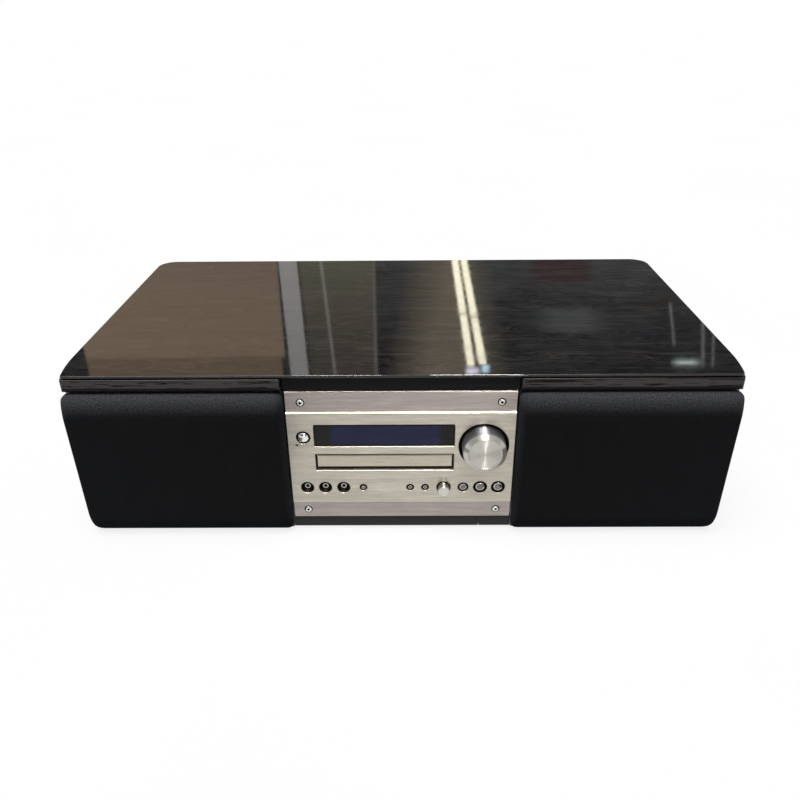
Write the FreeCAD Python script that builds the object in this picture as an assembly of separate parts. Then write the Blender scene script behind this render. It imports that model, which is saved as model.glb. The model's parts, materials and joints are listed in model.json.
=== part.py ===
import FreeCAD, Part
import math
import os

V = FreeCAD.Vector

# One-piece disc receiver: a lacquered top board over two speaker cabinets, with the receiver between them.
# Millimetres. X runs to the right, Y to the back, Z up; the origin is under the middle, on the table.

# Overall sizes
SYSTEM_W = 614.0          # across the board
BOARD_D = 333.0           # front edge to back edge of the board
BOARD_T = 3.0
BOARD_CORNER_R = 20.0
BOARD_BOW = 4.8             # board's ends draw in towards the front
BOARD_BOW_RUN = 44.0
BOARD_FRONT_R = 3.0
BOARD_EDGE_R = 0.7
BOARD_UNDER_R = 1.2       # board's edge, rounded under
FELT_T = 0.8              # felt between the board and the cabinets
CABINET_FOOT_H = 2.0
CABINET_H = 166.2
KNOB_REACH = 18.0         # volume knob's face ahead of the base plate's face
BOARD_LEAD = 4.0          # board's front edge ahead of the base plate's face
BACK_OVERHANG = 3.0       # board's back edge behind the cabinets
CABINET_PROUD = 0.5       # cabinets beyond the board's ends

# Front panel
PANEL_W = 210.0
PLINTH_H = 14.0           # panel's lower edge above the cabinets' undersides
PLINTH_RISE = 1.0         # plinth's lower edge above them
HEADER_SPACE = 14.2       # panel's upper edge below the cabinets' tops
SIDE_GAP = 2.0            # panel to each cabinet
BASE_PLATE_T = 4.0
MAIN_PLATE_T = 2.0
LOWER_STRIP_H = 17.0      # base plate showing under the main plate
UPPER_STRIP_H = 20.4      # and over it
PLATE_CHAMFER = 1.2
HOLE_CHAMFER = 0.4
SUBPANEL_T = 3.0
SUBPANEL_INSET = 1.0      # sub-panel inside the base plate's outline
SCREW_INSET = 13.6        # screws from the panel's sides, lower edge and upper edge
SCREW_LOW = 8.6
SCREW_DROP = 11.2
SCREW_HEAD_R = 3.5
SCREW_HEAD_H = 1.9
SCREW_SHANK_R = 1.5
SCREW_SINK = 0.8
SCREW_SOCKET_R = 1.15

# Display window: X from the panel's middle, heights above its lower edge
WINDOW_LEFT = -81.0
WINDOW_RIGHT = 49.6
WINDOW_LOW = 81.2
WINDOW_HIGH = 104.4
WINDOW_CORNER_R = 1.6
WINDOW_SINK = 0.8         # window's face behind the main plate's face
DISPLAY_W = 101.0
DISPLAY_H = 19.0
DISPLAY_X = -15.0

# Drawer
DRAWER_X = -15.8          # middle of the disc mechanism
DRAWER_FRONT_W = 127.4
DRAWER_FRONT_LOW = 58.0
DRAWER_FRONT_H = 13.5
DRAWER_FRONT_T = 5.0
DRAWER_SINK = 1.4         # drawer's face behind the main plate's face
DRAWER_BEVEL = 1.6
FRONT_CLIP = 1.6          # tray's own front wall behind the drawer front
SLOT_SIDE_GAP = 1.4       # slot round the drawer front
SLOT_LOWER_GAP = 3.1
SLOT_UPPER_GAP = 1.4
TRAVEL = 132.0
DISC_R = 60.0
DISC_ROOM = 0.75          # pocket round the disc
POCKET_DEPTH = 2.4
SMALL_POCKET_R = 40.5
SMALL_POCKET_DEPTH = 0.6
TRAY_T = 5.0
TRAY_SIDE_INSET = 0.9     # tray inside the drawer front's ends
TRAY_LIP = 1.4
TRAY_LIP_T = 2.0
TRAY_TAIL = 106.0         # tray behind the disc's centre
TRAY_FRONT_WALL = 4.0
TRAY_SLOT_W = 34.0
SLIDE_GAP = 0.1
PLAY_GAP = 0.5            # room beside parts that pass one another

# Control row and knobs: X from the panel's middle, height above its lower edge
ROW_H = 35.3
JACK_XS = (-90.5, -73.2, -55.7)
JACK_HOLE_R = 6.2
JACK_RING_R = 3.1
JACK_BORE_R = 1.8
JACK_BORE_L = 13.0
JACK_SINK = 3.3
KNOB_X = 76.6
KNOB_H = 81.6
KNOB_R = 20.1
KNOB_BEVEL = 4.6          # knob's side to its flat face, and how deep the bevel is
KNOB_BEVEL_D = 3.4
KNOB_RING = 3.2           # dark ring round the knob
KNOB_SHAFT_R = 3.0
SELECTOR_X = 40.1
SELECTOR_R = 5.5
SELECTOR_REACH = 7.8      # ahead of the main plate's face
SELECTOR_RING = 1.2
SELECTOR_SHAFT_R = 2.0
LED_X = -97.2
LED_H = 82.5
LED_R = 1.1
RUNNING_GAP = 0.09        # radial gap of a shaft or stem in its hole
BUTTON_STEM_R = 1.4
BUTTON_TRAVEL = 1.2
SWITCH_T = 3.5            # switch on the control board behind each button

# name, X, height, cap radius, ring round the cap, cap's face ahead of the main plate's face
BUTTONS = (
    ("power_button", -90.9, 91.0, 4.9, 1.7, 1.6),
    ("dimmer_button", -36.7, ROW_H, 2.1, 1.5, 0.1),
    ("program_button", 8.1, ROW_H, 2.1, 1.5, 0.1),
    ("repeat_button", 22.4, ROW_H, 2.1, 1.5, 0.1),
    ("eject_button", 58.8, ROW_H, 3.7, 1.4, 0.0),
    ("play_button", 75.1, ROW_H, 4.8, 1.8, 0.0),
    ("stop_button", 92.3, ROW_H, 4.8, 1.8, 0.0),
)

# Cabinets
BOARD_WALL = 12.0
CABINET_FRONT_R = 11.0
CABINET_BACK_R = 12.0
BAFFLE_T = 15.0
RAIL_H = 13.8
RAIL_T = 6.0
RAIL_EDGE_R = 1.4
RAIL_BOW = 4.1              # rail's outer end draws in towards the front
RAIL_BOW_RUN = 20.0
RAIL_CORNER_R = 2.5
RAIL_UNDER_R = 5.4        # rail's front, rounded under
RAIL_END_R = 3.0
WOOFER_W_SHARE = 0.322    # woofer's flange radius over the baffle's width, or its height if that is less
WOOFER_H_SHARE = 0.4
TWEETER_W_SHARE = 0.12
DRIVER_MARGIN = 6.0       # drivers to the baffle's ends
WOOFER_FLANGE_T = 3.0
WOOFER_LAND = 6.0         # flange beyond the hole it covers
SURROUND_W = 7.0          # hole's edge to the cone's edge
TWEETER_LAND = 6.0
FLUSH_GAP = 0.2           # round a part let into a board

# Grilles
GRILLE_PROUD = 0.8        # beyond the cabinet's outer side, at the upper edge
GRILLE_LEAN = 2.4         # how much less far out the lower edge is
GRILLE_BACK = 2.0         # behind the base plate's face
GRILLE_STRAIGHT = 4.0     # depth of the square edge before the bevel
GRILLE_DEPTH = 12.0       # back of the grille to its face
GRILLE_SEAT_GAP = 0.3
GRILLE_DROP = 15.2        # grille's upper edge below the cabinet's top
GRILLE_UNDER = 1.2        # its lower edge above the cabinet's underside
BEVEL_TOP = 16.4          # how far in each side's bevel runs
BEVEL_BOTTOM = 16.0
BEVEL_INNER = 5.5
BEVEL_OUTER = 3.0
GRILLE_CORNER_R = 8.5
CLOTH_T = 1.0
CLOTH_GAP = 0.25
FRAME_BAR = 15.0
PEG_R = 2.5
PEG_L = 12.0
PEG_INSET = 9.0

# Receiver case
SHEET_T = 1.0
CASE_INSET = 1.0          # case's sides inside the panel's
CASE_RISE = 6.0           # case's top above the panel's upper edge
CASE_UNDER = 8.0          # pan's underside above the table
REAR_PANEL_BACK = 12.0    # rear panel ahead of the cabinets' backs
HEADER_LOW = 1.0          # strip's lower edge above the panel
HEADER_FACE = 1.0         # strip's face behind the base plate's face
PLINTH_FACE = 2.0
CASE_FIT = 0.1
PCB_T = 1.6
PCB_BACK = 16.0           # control board's front behind the base plate's face

# Sockets at the back: X from the middle, heights above the panel's lower edge
RCA_XS = (-30.0, -12.0, 6.0)
RCA_HEIGHTS = (70.0, 88.0)
RCA_SLEEVE_R = 4.15
RCA_REACH = 9.0
INLET_X = 78.0
INLET_H = 16.0
INLET_FLANGE_W = 27.0
INLET_FLANGE_H = 17.5
INLET_CAVITY_W = 19.6
INLET_CAVITY_H = 9.6
INLET_DEPTH = 14.0
AERIAL_X = -76.0
AERIAL_H = 84.0
COAX_R = 4.7

# Disc mechanism
DECK_WALL = 3.0
DECK_FLOOR_T = 2.0
DECK_FLOOR_DROP = 14.0    # floor's top below the tray's underside
DECK_START = 19.0         # behind the base plate's face
DECK_LEN = 160.0
DECK_TOP = 16.0           # wall's top above the tray's underside
RACK_MODULE = 1.0
PINION_TEETH = 16
WHEEL_MODULE = 0.8
WHEEL_TEETH = 34
MOTOR_TEETH = 12
GEAR_BACK = 34.0          # gear's centre behind the base plate's face
TOOTH_PLAY = 0.3
HINGE_BACK = 78.0         # behind the disc's centre
TRAVERSE_T = 2.0
TRAVERSE_HALF_W = 30.0
ROD_R = 1.5
ROD_X = 22.0
LEAD_SCREW_X = 28.0
TURNTABLE_R = 14.0
HUB_R = 7.3

# Derived places
FACE_Y = KNOB_REACH - (KNOB_REACH + BOARD_D - BOARD_LEAD) / 2
PANEL_H = CABINET_H - PLINTH_H - HEADER_SPACE
MAIN_Y = FACE_Y - MAIN_PLATE_T
SUB_Y = FACE_Y + BASE_PLATE_T
CASE_Y = SUB_Y + SUBPANEL_T
CABINET_Z = CABINET_FOOT_H
CABINET_TOP = CABINET_Z + CABINET_H
BOARD_Z = CABINET_TOP + FELT_T
PANEL_Z = CABINET_Z + PLINTH_H
PANEL_TOP = PANEL_Z + PANEL_H
CABINET_IN_X = PANEL_W / 2 + SIDE_GAP
CABINET_OUT_X = SYSTEM_W / 2 + CABINET_PROUD
CASE_HALF_W = PANEL_W / 2 - CASE_INSET
CASE_TOP = PANEL_TOP + CASE_RISE
BAFFLE_W = CABINET_OUT_X - CABINET_IN_X - 2 * BOARD_WALL
BAFFLE_H = CABINET_H - 2 * BOARD_WALL
WOOFER_FLANGE_R = min(WOOFER_W_SHARE * BAFFLE_W, WOOFER_H_SHARE * BAFFLE_H)
WOOFER_HOLE_R = WOOFER_FLANGE_R - WOOFER_LAND
WOOFER_CONE_R = WOOFER_HOLE_R - SURROUND_W
MAGNET_R = WOOFER_FLANGE_R * 0.64
COIL_R = WOOFER_FLANGE_R * 0.225
TWEETER_FLANGE_R = TWEETER_W_SHARE * BAFFLE_W
TWEETER_BODY_R = TWEETER_FLANGE_R - TWEETER_LAND
TWEETER_DOME_R = TWEETER_FLANGE_R * 0.43
WOOFER_X = CABINET_OUT_X - BOARD_WALL - WOOFER_FLANGE_R - DRIVER_MARGIN
TWEETER_X = CABINET_IN_X + BOARD_WALL + TWEETER_FLANGE_R + DRIVER_MARGIN
SCREW_X = PANEL_W / 2 - SCREW_INSET
SCREW_HEIGHTS = (SCREW_LOW, PANEL_H - SCREW_DROP)
GRILLE_TOP = CABINET_TOP - GRILLE_DROP
CABINET_Y = FACE_Y + GRILLE_BACK
BOARD_FRONT_Y = FACE_Y - BOARD_LEAD
BOARD_BACK_Y = BOARD_FRONT_Y + BOARD_D
CABINET_BACK_Y = BOARD_BACK_Y - BACK_OVERHANG
REAR_Y = CABINET_BACK_Y - REAR_PANEL_BACK
DRIVER_Z = CABINET_Z + (CABINET_H - RAIL_H) / 2
KNOB_FACE_R = KNOB_R - KNOB_BEVEL
DRAWER_FRONT_HIGH = DRAWER_FRONT_LOW + DRAWER_FRONT_H
SLOT_W = DRAWER_FRONT_W + 2 * SLOT_SIDE_GAP
SLOT_LOW = DRAWER_FRONT_LOW - SLOT_LOWER_GAP
SLOT_HIGH = DRAWER_FRONT_HIGH + SLOT_UPPER_GAP
TRAY_W = DRAWER_FRONT_W - 2 * TRAY_SIDE_INSET
POCKET_R = DISC_R + DISC_ROOM
TRAY_FRONT_Y = MAIN_Y + DRAWER_SINK
TRAY_Y = TRAY_FRONT_Y + DRAWER_FRONT_T
DISC_Y = TRAY_Y + TRAY_FRONT_WALL + POCKET_R
TRAY_Z = PANEL_Z + (DRAWER_FRONT_LOW + DRAWER_FRONT_HIGH) / 2 - TRAY_T / 2 - 1.5
TRAY_BACK_Y = DISC_Y + TRAY_TAIL
DECK_Y = FACE_Y + DECK_START
DECK_BACK_Y = DECK_Y + DECK_LEN
DECK_Z = TRAY_Z - DECK_FLOOR_DROP
LIP_HALF_W = TRAY_W / 2 + TRAY_LIP
DECK_IN = LIP_HALF_W + PLAY_GAP
DECK_OUT = DECK_IN + DECK_WALL
GEAR_Y = FACE_Y + GEAR_BACK
PINION_R = RACK_MODULE * PINION_TEETH / 2
WHEEL_R = WHEEL_MODULE * WHEEL_TEETH / 2
MOTOR_PINION_R = WHEEL_MODULE * MOTOR_TEETH / 2
RACK_PITCH_X = DRAWER_X + TRAY_W / 2 - 5.0
GEAR_X = RACK_PITCH_X - PINION_R
PCB_Y = FACE_Y + PCB_BACK


def height(above_panel_edge):
    """Z of a height counted from the front panel's lower edge."""
    return PANEL_Z + above_panel_edge


def box(x0, x1, y0, y1, z0, z1):
    return Part.makeBox(x1 - x0, y1 - y0, z1 - z0, V(x0, y0, z0))


def rod_x(x0, x1, y, z, r):
    return Part.makeCylinder(r, x1 - x0, V(x0, y, z), V(1, 0, 0))


def rod_y(x, z, y0, y1, r):
    return Part.makeCylinder(r, y1 - y0, V(x, y0, z), V(0, 1, 0))


def rod_z(x, y, z0, z1, r):
    return Part.makeCylinder(r, z1 - z0, V(x, y, z0), V(0, 0, 1))


def cone_y(x, z, y0, y1, r0, r1):
    return Part.makeCone(r0, r1, y1 - y0, V(x, y0, z), V(0, 1, 0))


def tube_y(x, z, y0, y1, r, bore):
    return rod_y(x, z, y0, y1, r).cut(rod_y(x, z, y0, y1, bore))


def join(shapes):
    return shapes[0].multiFuse(shapes[1:]).removeSplitter()


def less(shape, tools):
    return shape.cut(Part.makeCompound(tools))


def group(shapes):
    return Part.makeCompound(shapes)


def mirrored(shape):
    return shape.mirror(V(0, 0, 0), V(1, 0, 0))


def rounded_outline(u0, u1, v0, v1, radii, point):
    """Closed wire of a rectangle with rounded corners; radii run from (u0, v0) round to (u0, v1)."""
    corners = ((u0, v0), (u1, v0), (u1, v1), (u0, v1))
    into = ((0, 1), (-1, 0), (0, -1), (1, 0))
    out = ((1, 0), (0, 1), (-1, 0), (0, -1))
    edges = []
    starts = []
    ends = []
    for (u, v), r, a, b in zip(corners, radii, into, out):
        starts.append((u + a[0] * r, v + a[1] * r))
        ends.append((u + b[0] * r, v + b[1] * r))
    for i in range(4):
        (u, v), r = corners[i], radii[i]
        if r > 0:
            middle_u = u + (into[i][0] + out[i][0]) * r * (1 - math.sqrt(0.5))
            middle_v = v + (into[i][1] + out[i][1]) * r * (1 - math.sqrt(0.5))
            arc = Part.Arc(point(*starts[i]), point(middle_u, middle_v), point(*ends[i]))
            edges.append(arc.toShape())
        edges.append(Part.makeLine(point(*ends[i]), point(*starts[(i + 1) % 4])))
    return Part.Wire(edges)


def slab(x0, x1, y0, y1, z0, z1, radii):
    """Flat board whose corners are rounded in plan."""
    wire = rounded_outline(x0, x1, y0, y1, radii, lambda u, v: V(u, v, z0))
    return Part.Face(wire).extrude(V(0, 0, z1 - z0))


def plate(x0, x1, z0, z1, y0, y1, radii):
    """Upright plate whose corners are rounded as seen from the front."""
    wire = rounded_outline(x0, x1, z0, z1, radii, lambda u, v: V(u, y0, v))
    return Part.Face(wire).extrude(V(0, y1 - y0, 0))


def turned_y(profile, x, z):
    """Solid turned about a line along Y, from a profile of (radius, y) lines and three-point arcs."""
    edges = []
    for item in profile:
        pts = [V(x + r, y, z) for r, y in item]
        if len(pts) == 3:
            edges.append(Part.Arc(*pts).toShape())
        else:
            edges.append(Part.makeLine(*pts))
    face = Part.Face(Part.Wire(edges))
    return face.revolve(V(x, 0, z), V(0, 1, 0), 360)


def polygon_profile(points):
    """Straight-edged closed profile for turned_y."""
    return [(points[i], points[(i + 1) % len(points)]) for i in range(len(points))]


def dome_arc(r, apex, rise):
    """Arc from the axis out to a radius r, of a ball whose nearest point is at y = apex."""
    ball_r = (r * r + rise * rise) / (2 * rise)
    half = math.asin(r / ball_r) / 2
    middle = (ball_r * math.sin(half), apex + ball_r * (1 - math.cos(half)))
    return ((0.0, apex), middle, (r, apex + rise))


def edges_at(shape, axis, value, along=None):
    """Edges that lie wholly at one coordinate, and run along one axis where that is given."""
    found = []
    for edge in shape.Edges:
        low = getattr(edge.BoundBox, axis + "Min")
        high = getattr(edge.BoundBox, axis + "Max")
        if abs(low - value) > 1e-4 or abs(high - value) > 1e-4:
            continue
        if along and getattr(edge.BoundBox, along + "Length") < 1e-3:
            continue
        found.append(edge)
    return found


def save(name, shape):
    shape.exportStep(os.path.join("parts", name + ".step"))


# Board, felts and feet

def end_sliver(x1, y0, z0, z1, bow, run):
    """What a slab's end at x1 loses where it draws in by bow, along an arc, over run before the front."""
    radius = (bow * bow + run * run) / (2 * bow)
    past = box(x1 - 2 * bow, x1 + 1, y0 - 1, y0 + run, z0 - 1, z1 + 1)
    return past.cut(rod_z(x1 - radius, y0 + run, z0 - 2, z1 + 2, radius))


def top_board():
    half = SYSTEM_W / 2
    z1 = BOARD_Z + BOARD_T
    radii = (0.0, 0.0, BOARD_CORNER_R, BOARD_CORNER_R)
    board = slab(-half, half, BOARD_FRONT_Y, BOARD_BACK_Y, BOARD_Z, z1, radii)
    sliver = end_sliver(half, BOARD_FRONT_Y, BOARD_Z, z1, BOARD_BOW, BOARD_BOW_RUN)
    board = board.cut(sliver).cut(mirrored(sliver))
    front = [e for e in board.Edges if e.BoundBox.YMax < BOARD_FRONT_Y + 1e-3 and e.BoundBox.ZLength > 1]
    board = board.makeFillet(BOARD_FRONT_R, front)
    board = board.makeFillet(BOARD_UNDER_R, edges_at(board, "Z", BOARD_Z))
    return board.makeFillet(BOARD_EDGE_R, edges_at(board, "Z", BOARD_Z + BOARD_T))


def felt_spacers():
    """Discs that carry the board on the cabinets and hold the cabinets off the receiver's case."""
    board_disc_r = 10.0
    side_disc_r = 8.0
    inset = 35.0
    discs = []
    for side in (-1, 1):
        for x in (CABINET_IN_X + inset, CABINET_OUT_X - inset):
            for y in (CABINET_Y + inset, CABINET_BACK_Y - inset):
                discs.append(rod_z(side * x, y, CABINET_TOP, BOARD_Z, board_disc_r))
        for y in (CASE_Y + inset, REAR_Y - inset):
            x0 = min(side * CASE_HALF_W, side * CABINET_IN_X)
            discs.append(rod_x(x0, x0 + CABINET_IN_X - CASE_HALF_W, y, DRIVER_Z, side_disc_r))
    return group(discs)


def rubber_feet():
    cabinet_r = 9.0
    receiver_r = 12.0
    inset = 25.0
    feet = []
    for side in (-1, 1):
        for x in (CABINET_IN_X + inset, CABINET_OUT_X - inset):
            for y in (CABINET_Y + inset, CABINET_BACK_Y - inset):
                feet.append(rod_z(side * x, y, 0, CABINET_FOOT_H, cabinet_r))
        for y in (CASE_Y + inset, REAR_Y - inset):
            x = side * (CASE_HALF_W - inset)
            feet.append(rod_z(x, y, 0, CASE_UNDER, receiver_r))
    return group(feet)


# Speaker cabinets, drawn on the right

def cabinet():
    radii = (0.0, CABINET_FRONT_R, CABINET_BACK_R, 0.0)
    shell = slab(CABINET_IN_X, CABINET_OUT_X, CABINET_Y, CABINET_BACK_Y, CABINET_Z, CABINET_TOP, radii)
    hollow = box(
        CABINET_IN_X + BOARD_WALL, CABINET_OUT_X - BOARD_WALL,
        CABINET_Y, CABINET_BACK_Y - BOARD_WALL,
        CABINET_Z + BOARD_WALL, CABINET_TOP - BOARD_WALL,
    )
    return shell.cut(hollow)


def front_rail():
    """Lacquered rail with a rounded nose along the top of the cabinet's front."""
    y0 = BOARD_FRONT_Y
    z0 = CABINET_TOP - RAIL_H
    rail = box(CABINET_IN_X, CABINET_OUT_X, y0, CABINET_Y, z0, CABINET_TOP)
    rail = rail.cut(end_sliver(CABINET_OUT_X, y0, z0, CABINET_TOP, RAIL_BOW, RAIL_BOW_RUN))
    for near, r in ((CABINET_IN_X, RAIL_END_R), (CABINET_OUT_X - RAIL_BOW, RAIL_CORNER_R)):
        upright = [e for e in rail.Edges if e.BoundBox.YMax < y0 + 1e-3 and e.BoundBox.ZLength > 1]
        rail = rail.makeFillet(r, [e for e in upright if abs(e.BoundBox.XMin - near) < 1e-2])
    nose = [e for e in edges_at(rail, "Z", CABINET_TOP) if e.BoundBox.YMin < CABINET_Y - 1e-3]
    rail = rail.makeFillet(RAIL_EDGE_R, nose)
    r = RAIL_UNDER_R
    x0 = CABINET_IN_X - 1
    under = box(x0, CABINET_OUT_X + 1, y0 - 1, y0 + r, z0 - 1, z0 + r)
    return rail.cut(under.cut(rod_x(x0, CABINET_OUT_X + 1, y0 + r, z0 + r, r)))


def driver_seats():
    """Rebates and holes for the two drivers, and sockets for the grille's pegs."""
    flange_r = WOOFER_FLANGE_R + FLUSH_GAP
    small_r = TWEETER_FLANGE_R + FLUSH_GAP
    y0 = CABINET_Y
    seat = y0 + WOOFER_FLANGE_T + FLUSH_GAP
    back = y0 + BAFFLE_T
    seats = [
        rod_y(WOOFER_X, DRIVER_Z, y0, seat, flange_r),
        rod_y(WOOFER_X, DRIVER_Z, seat, back, WOOFER_HOLE_R),
        rod_y(TWEETER_X, DRIVER_Z, y0, seat, small_r),
        rod_y(TWEETER_X, DRIVER_Z, seat, back, TWEETER_BODY_R + FLUSH_GAP),
    ]
    for x, z in peg_places():
        seats.append(rod_y(x, z, y0, y0 + PEG_L + FLUSH_GAP, PEG_R + RUNNING_GAP))
    return seats


def speaker_baffle():
    board = box(
        CABINET_IN_X + BOARD_WALL, CABINET_OUT_X - BOARD_WALL,
        CABINET_Y, CABINET_Y + BAFFLE_T,
        CABINET_Z + BOARD_WALL, CABINET_TOP - BOARD_WALL,
    )
    return less(board, driver_seats())


def woofer_frame():
    """Pressed basket with its magnet, pole and plates, as separate solids."""
    y0 = CABINET_Y + FLUSH_GAP
    flange_back = y0 + WOOFER_FLANGE_T
    basket_back = y0 + 32.0
    skin = 1.5
    basket = turned_y(polygon_profile((
        (WOOFER_CONE_R + 5.0, y0), (WOOFER_FLANGE_R, y0), (WOOFER_FLANGE_R, flange_back),
        (WOOFER_HOLE_R - 1.0, flange_back), (MAGNET_R - 2.0, basket_back), (COIL_R + 2.4, basket_back),
        (COIL_R + 2.4, basket_back - skin), (MAGNET_R - 3.0, basket_back - skin),
        (WOOFER_HOLE_R - 2.6, flange_back - skin), (WOOFER_CONE_R + 5.0, flange_back - skin),
    )), WOOFER_X, DRIVER_Z)
    window_r = 6.0
    windows = []
    for i in range(6):
        angle = math.radians(60 * i + 30)
        place = V(WOOFER_X, y0 + 17.0, DRIVER_Z)
        windows.append(Part.makeCylinder(window_r, 60, place, V(math.cos(angle), 0, math.sin(angle))))
    basket = less(basket, windows)
    gap_out = COIL_R + 0.9
    gap_in = COIL_R - 1.2
    plate_back = basket_back + 5.0
    magnet_back = plate_back + 13.0
    yoke_back = magnet_back + 5.0
    front_plate = tube_y(WOOFER_X, DRIVER_Z, basket_back, plate_back, MAGNET_R - 3.0, gap_out)
    magnet = tube_y(WOOFER_X, DRIVER_Z, plate_back, magnet_back, MAGNET_R, COIL_R + 4.0)
    pole = rod_y(WOOFER_X, DRIVER_Z, basket_back, magnet_back, gap_in)
    yoke = join([rod_y(WOOFER_X, DRIVER_Z, magnet_back, yoke_back, MAGNET_R - 3.0), pole])
    return group([basket, front_plate, magnet, yoke])


def woofer_cone():
    """Cone, dust cap and coil former, which move together."""
    rim = CABINET_Y + FLUSH_GAP + 1.4
    skin = 0.8
    wall = 0.6
    neck = rim + 17.0
    front = rim - skin
    former_back = CABINET_Y + FLUSH_GAP + 37.0
    cap_r = COIL_R + 3.0
    cap_y = front + (WOOFER_CONE_R - cap_r) * (neck - rim) / (WOOFER_CONE_R - COIL_R)
    rise = 6.0
    outside = dome_arc(cap_r, cap_y - rise, rise)
    inside = dome_arc(COIL_R, cap_y - rise + 1.0, neck - skin - (cap_y - rise + 1.0))
    return turned_y([
        outside,
        ((cap_r, cap_y), (WOOFER_CONE_R, front)),
        ((WOOFER_CONE_R, front), (WOOFER_CONE_R, rim)),
        ((WOOFER_CONE_R, rim), (COIL_R + wall, neck)),
        ((COIL_R + wall, neck), (COIL_R + wall, former_back)),
        ((COIL_R + wall, former_back), (COIL_R, former_back)),
        ((COIL_R, former_back), inside[2]),
        inside[::-1],
        (inside[0], outside[0]),
    ], WOOFER_X, DRIVER_Z)


def woofer_surround():
    """Half-round rubber roll between the basket and the cone's edge."""
    y0 = CABINET_Y + FLUSH_GAP
    inner = WOOFER_CONE_R + 0.3
    roll_in = WOOFER_CONE_R + 1.0
    roll_out = WOOFER_CONE_R + 6.0
    middle = (roll_in + roll_out) / 2
    roll_r = (roll_out - roll_in) / 2
    skin = 0.7
    return turned_y([
        ((inner, y0), (roll_in, y0)),
        ((roll_in, y0), (middle, y0 - roll_r), (roll_out, y0)),
        ((roll_out, y0), (WOOFER_HOLE_R + 2.0, y0)),
        ((WOOFER_HOLE_R + 2.0, y0), (WOOFER_HOLE_R + 2.0, y0 - skin)),
        ((WOOFER_HOLE_R + 2.0, y0 - skin), (roll_out + skin, y0 - skin)),
        ((roll_out + skin, y0 - skin), (middle, y0 - roll_r - skin), (roll_in - skin / 2, y0 - skin)),
        ((roll_in - skin / 2, y0 - skin), (inner, y0 - skin)),
        ((inner, y0 - skin), (inner, y0)),
    ], WOOFER_X, DRIVER_Z)


def tweeter():
    y0 = CABINET_Y + FLUSH_GAP
    seat = y0 + WOOFER_FLANGE_T
    flange = tube_y(TWEETER_X, DRIVER_Z, y0, seat, TWEETER_FLANGE_R, TWEETER_DOME_R)
    body = rod_y(TWEETER_X, DRIVER_Z, seat, seat + 20.0, TWEETER_BODY_R)
    dome_r = TWEETER_DOME_R - 0.3
    apex = y0 - 1.0
    dome = turned_y([
        ((0.0, seat), (0.0, apex)),
        dome_arc(dome_r, apex, seat - 0.6 - apex),
        ((dome_r, seat - 0.6), (dome_r, seat)),
        ((dome_r, seat), (0.0, seat)),
    ], TWEETER_X, DRIVER_Z)
    return [join([flange, body]), dome]


def crossover_board():
    """Filter board on four stand-offs on the inside of the cabinet's back."""
    wall_y = CABINET_BACK_Y - BOARD_WALL
    x = (CABINET_IN_X + CABINET_OUT_X) / 2
    z = DRIVER_Z
    standoff = 5.0
    half_w = 35.0
    half_h = 24.0
    board_back = wall_y - standoff
    board_front = board_back - PCB_T
    pieces = [box(x - half_w, x + half_w, board_front, board_back, z - half_h, z + half_h)]
    for dx in (-28.0, 28.0):
        for dz in (-18.0, 18.0):
            pieces.append(rod_y(x + dx, z + dz, board_back, wall_y, 3.0))
    pieces.append(tube_y(x - 18.0, z, board_front - 16.0, board_front, 13.0, 6.0))
    pieces.append(rod_y(x + 10.0, z - 10.0, board_front - 26.0, board_front, 8.0))
    pieces.append(rod_y(x + 26.0, z - 10.0, board_front - 18.0, board_front, 5.0))
    pieces.append(box(x + 4.0, x + 30.0, board_front - 8.0, board_front, z + 6.0, z + 14.0))
    return join(pieces)


# Grilles, drawn on the right

def grille_section(y, share, shrink):
    """Outline of the cloth at one depth; share is how much of the bevel has been taken."""
    x0 = CABINET_IN_X + BEVEL_INNER * share + shrink
    x1 = CABINET_OUT_X + GRILLE_PROUD - BEVEL_OUTER * share - shrink
    z0 = CABINET_Z + GRILLE_UNDER + BEVEL_BOTTOM * share + shrink
    z1 = GRILLE_TOP - BEVEL_TOP * share - shrink
    r = GRILLE_CORNER_R - shrink
    inner_r = r / 2
    span = CABINET_OUT_X - CABINET_IN_X

    def point(u, v):
        lean = GRILLE_LEAN * (GRILLE_TOP - v) / (GRILLE_TOP - CABINET_Z) * (u - CABINET_IN_X) / span
        return V(u - lean, y, v)

    return rounded_outline(x0, x1, z0, z1, (inner_r, r, r, inner_r), point)


def grille_form(shrink):
    """Solid under the cloth's skin: a square edge, a flat bevel and an eased face."""
    back = CABINET_Y - GRILLE_SEAT_GAP
    face = back - GRILLE_DEPTH + shrink
    stops = (
        (back, 0.0),
        (back - GRILLE_STRAIGHT, 0.0),
        (face + 2.0, 0.78),
        (face + 0.5, 0.96),
        (face, 1.10),
    )
    wires = [grille_section(y, share, shrink) for y, share in stops]
    return Part.makeLoft(wires, True, True)


def peg_places():
    x0 = CABINET_IN_X + BOARD_WALL + PEG_INSET
    x1 = CABINET_OUT_X - BOARD_WALL - PEG_INSET
    z0 = CABINET_Z + BOARD_WALL + PEG_INSET
    z1 = GRILLE_TOP - BOARD_WALL - PEG_INSET
    return [(x, z) for x in (x0, x1) for z in (z0, z1)]


def grille_cloth():
    return grille_form(0.0).cut(grille_form(CLOTH_T))


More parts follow.
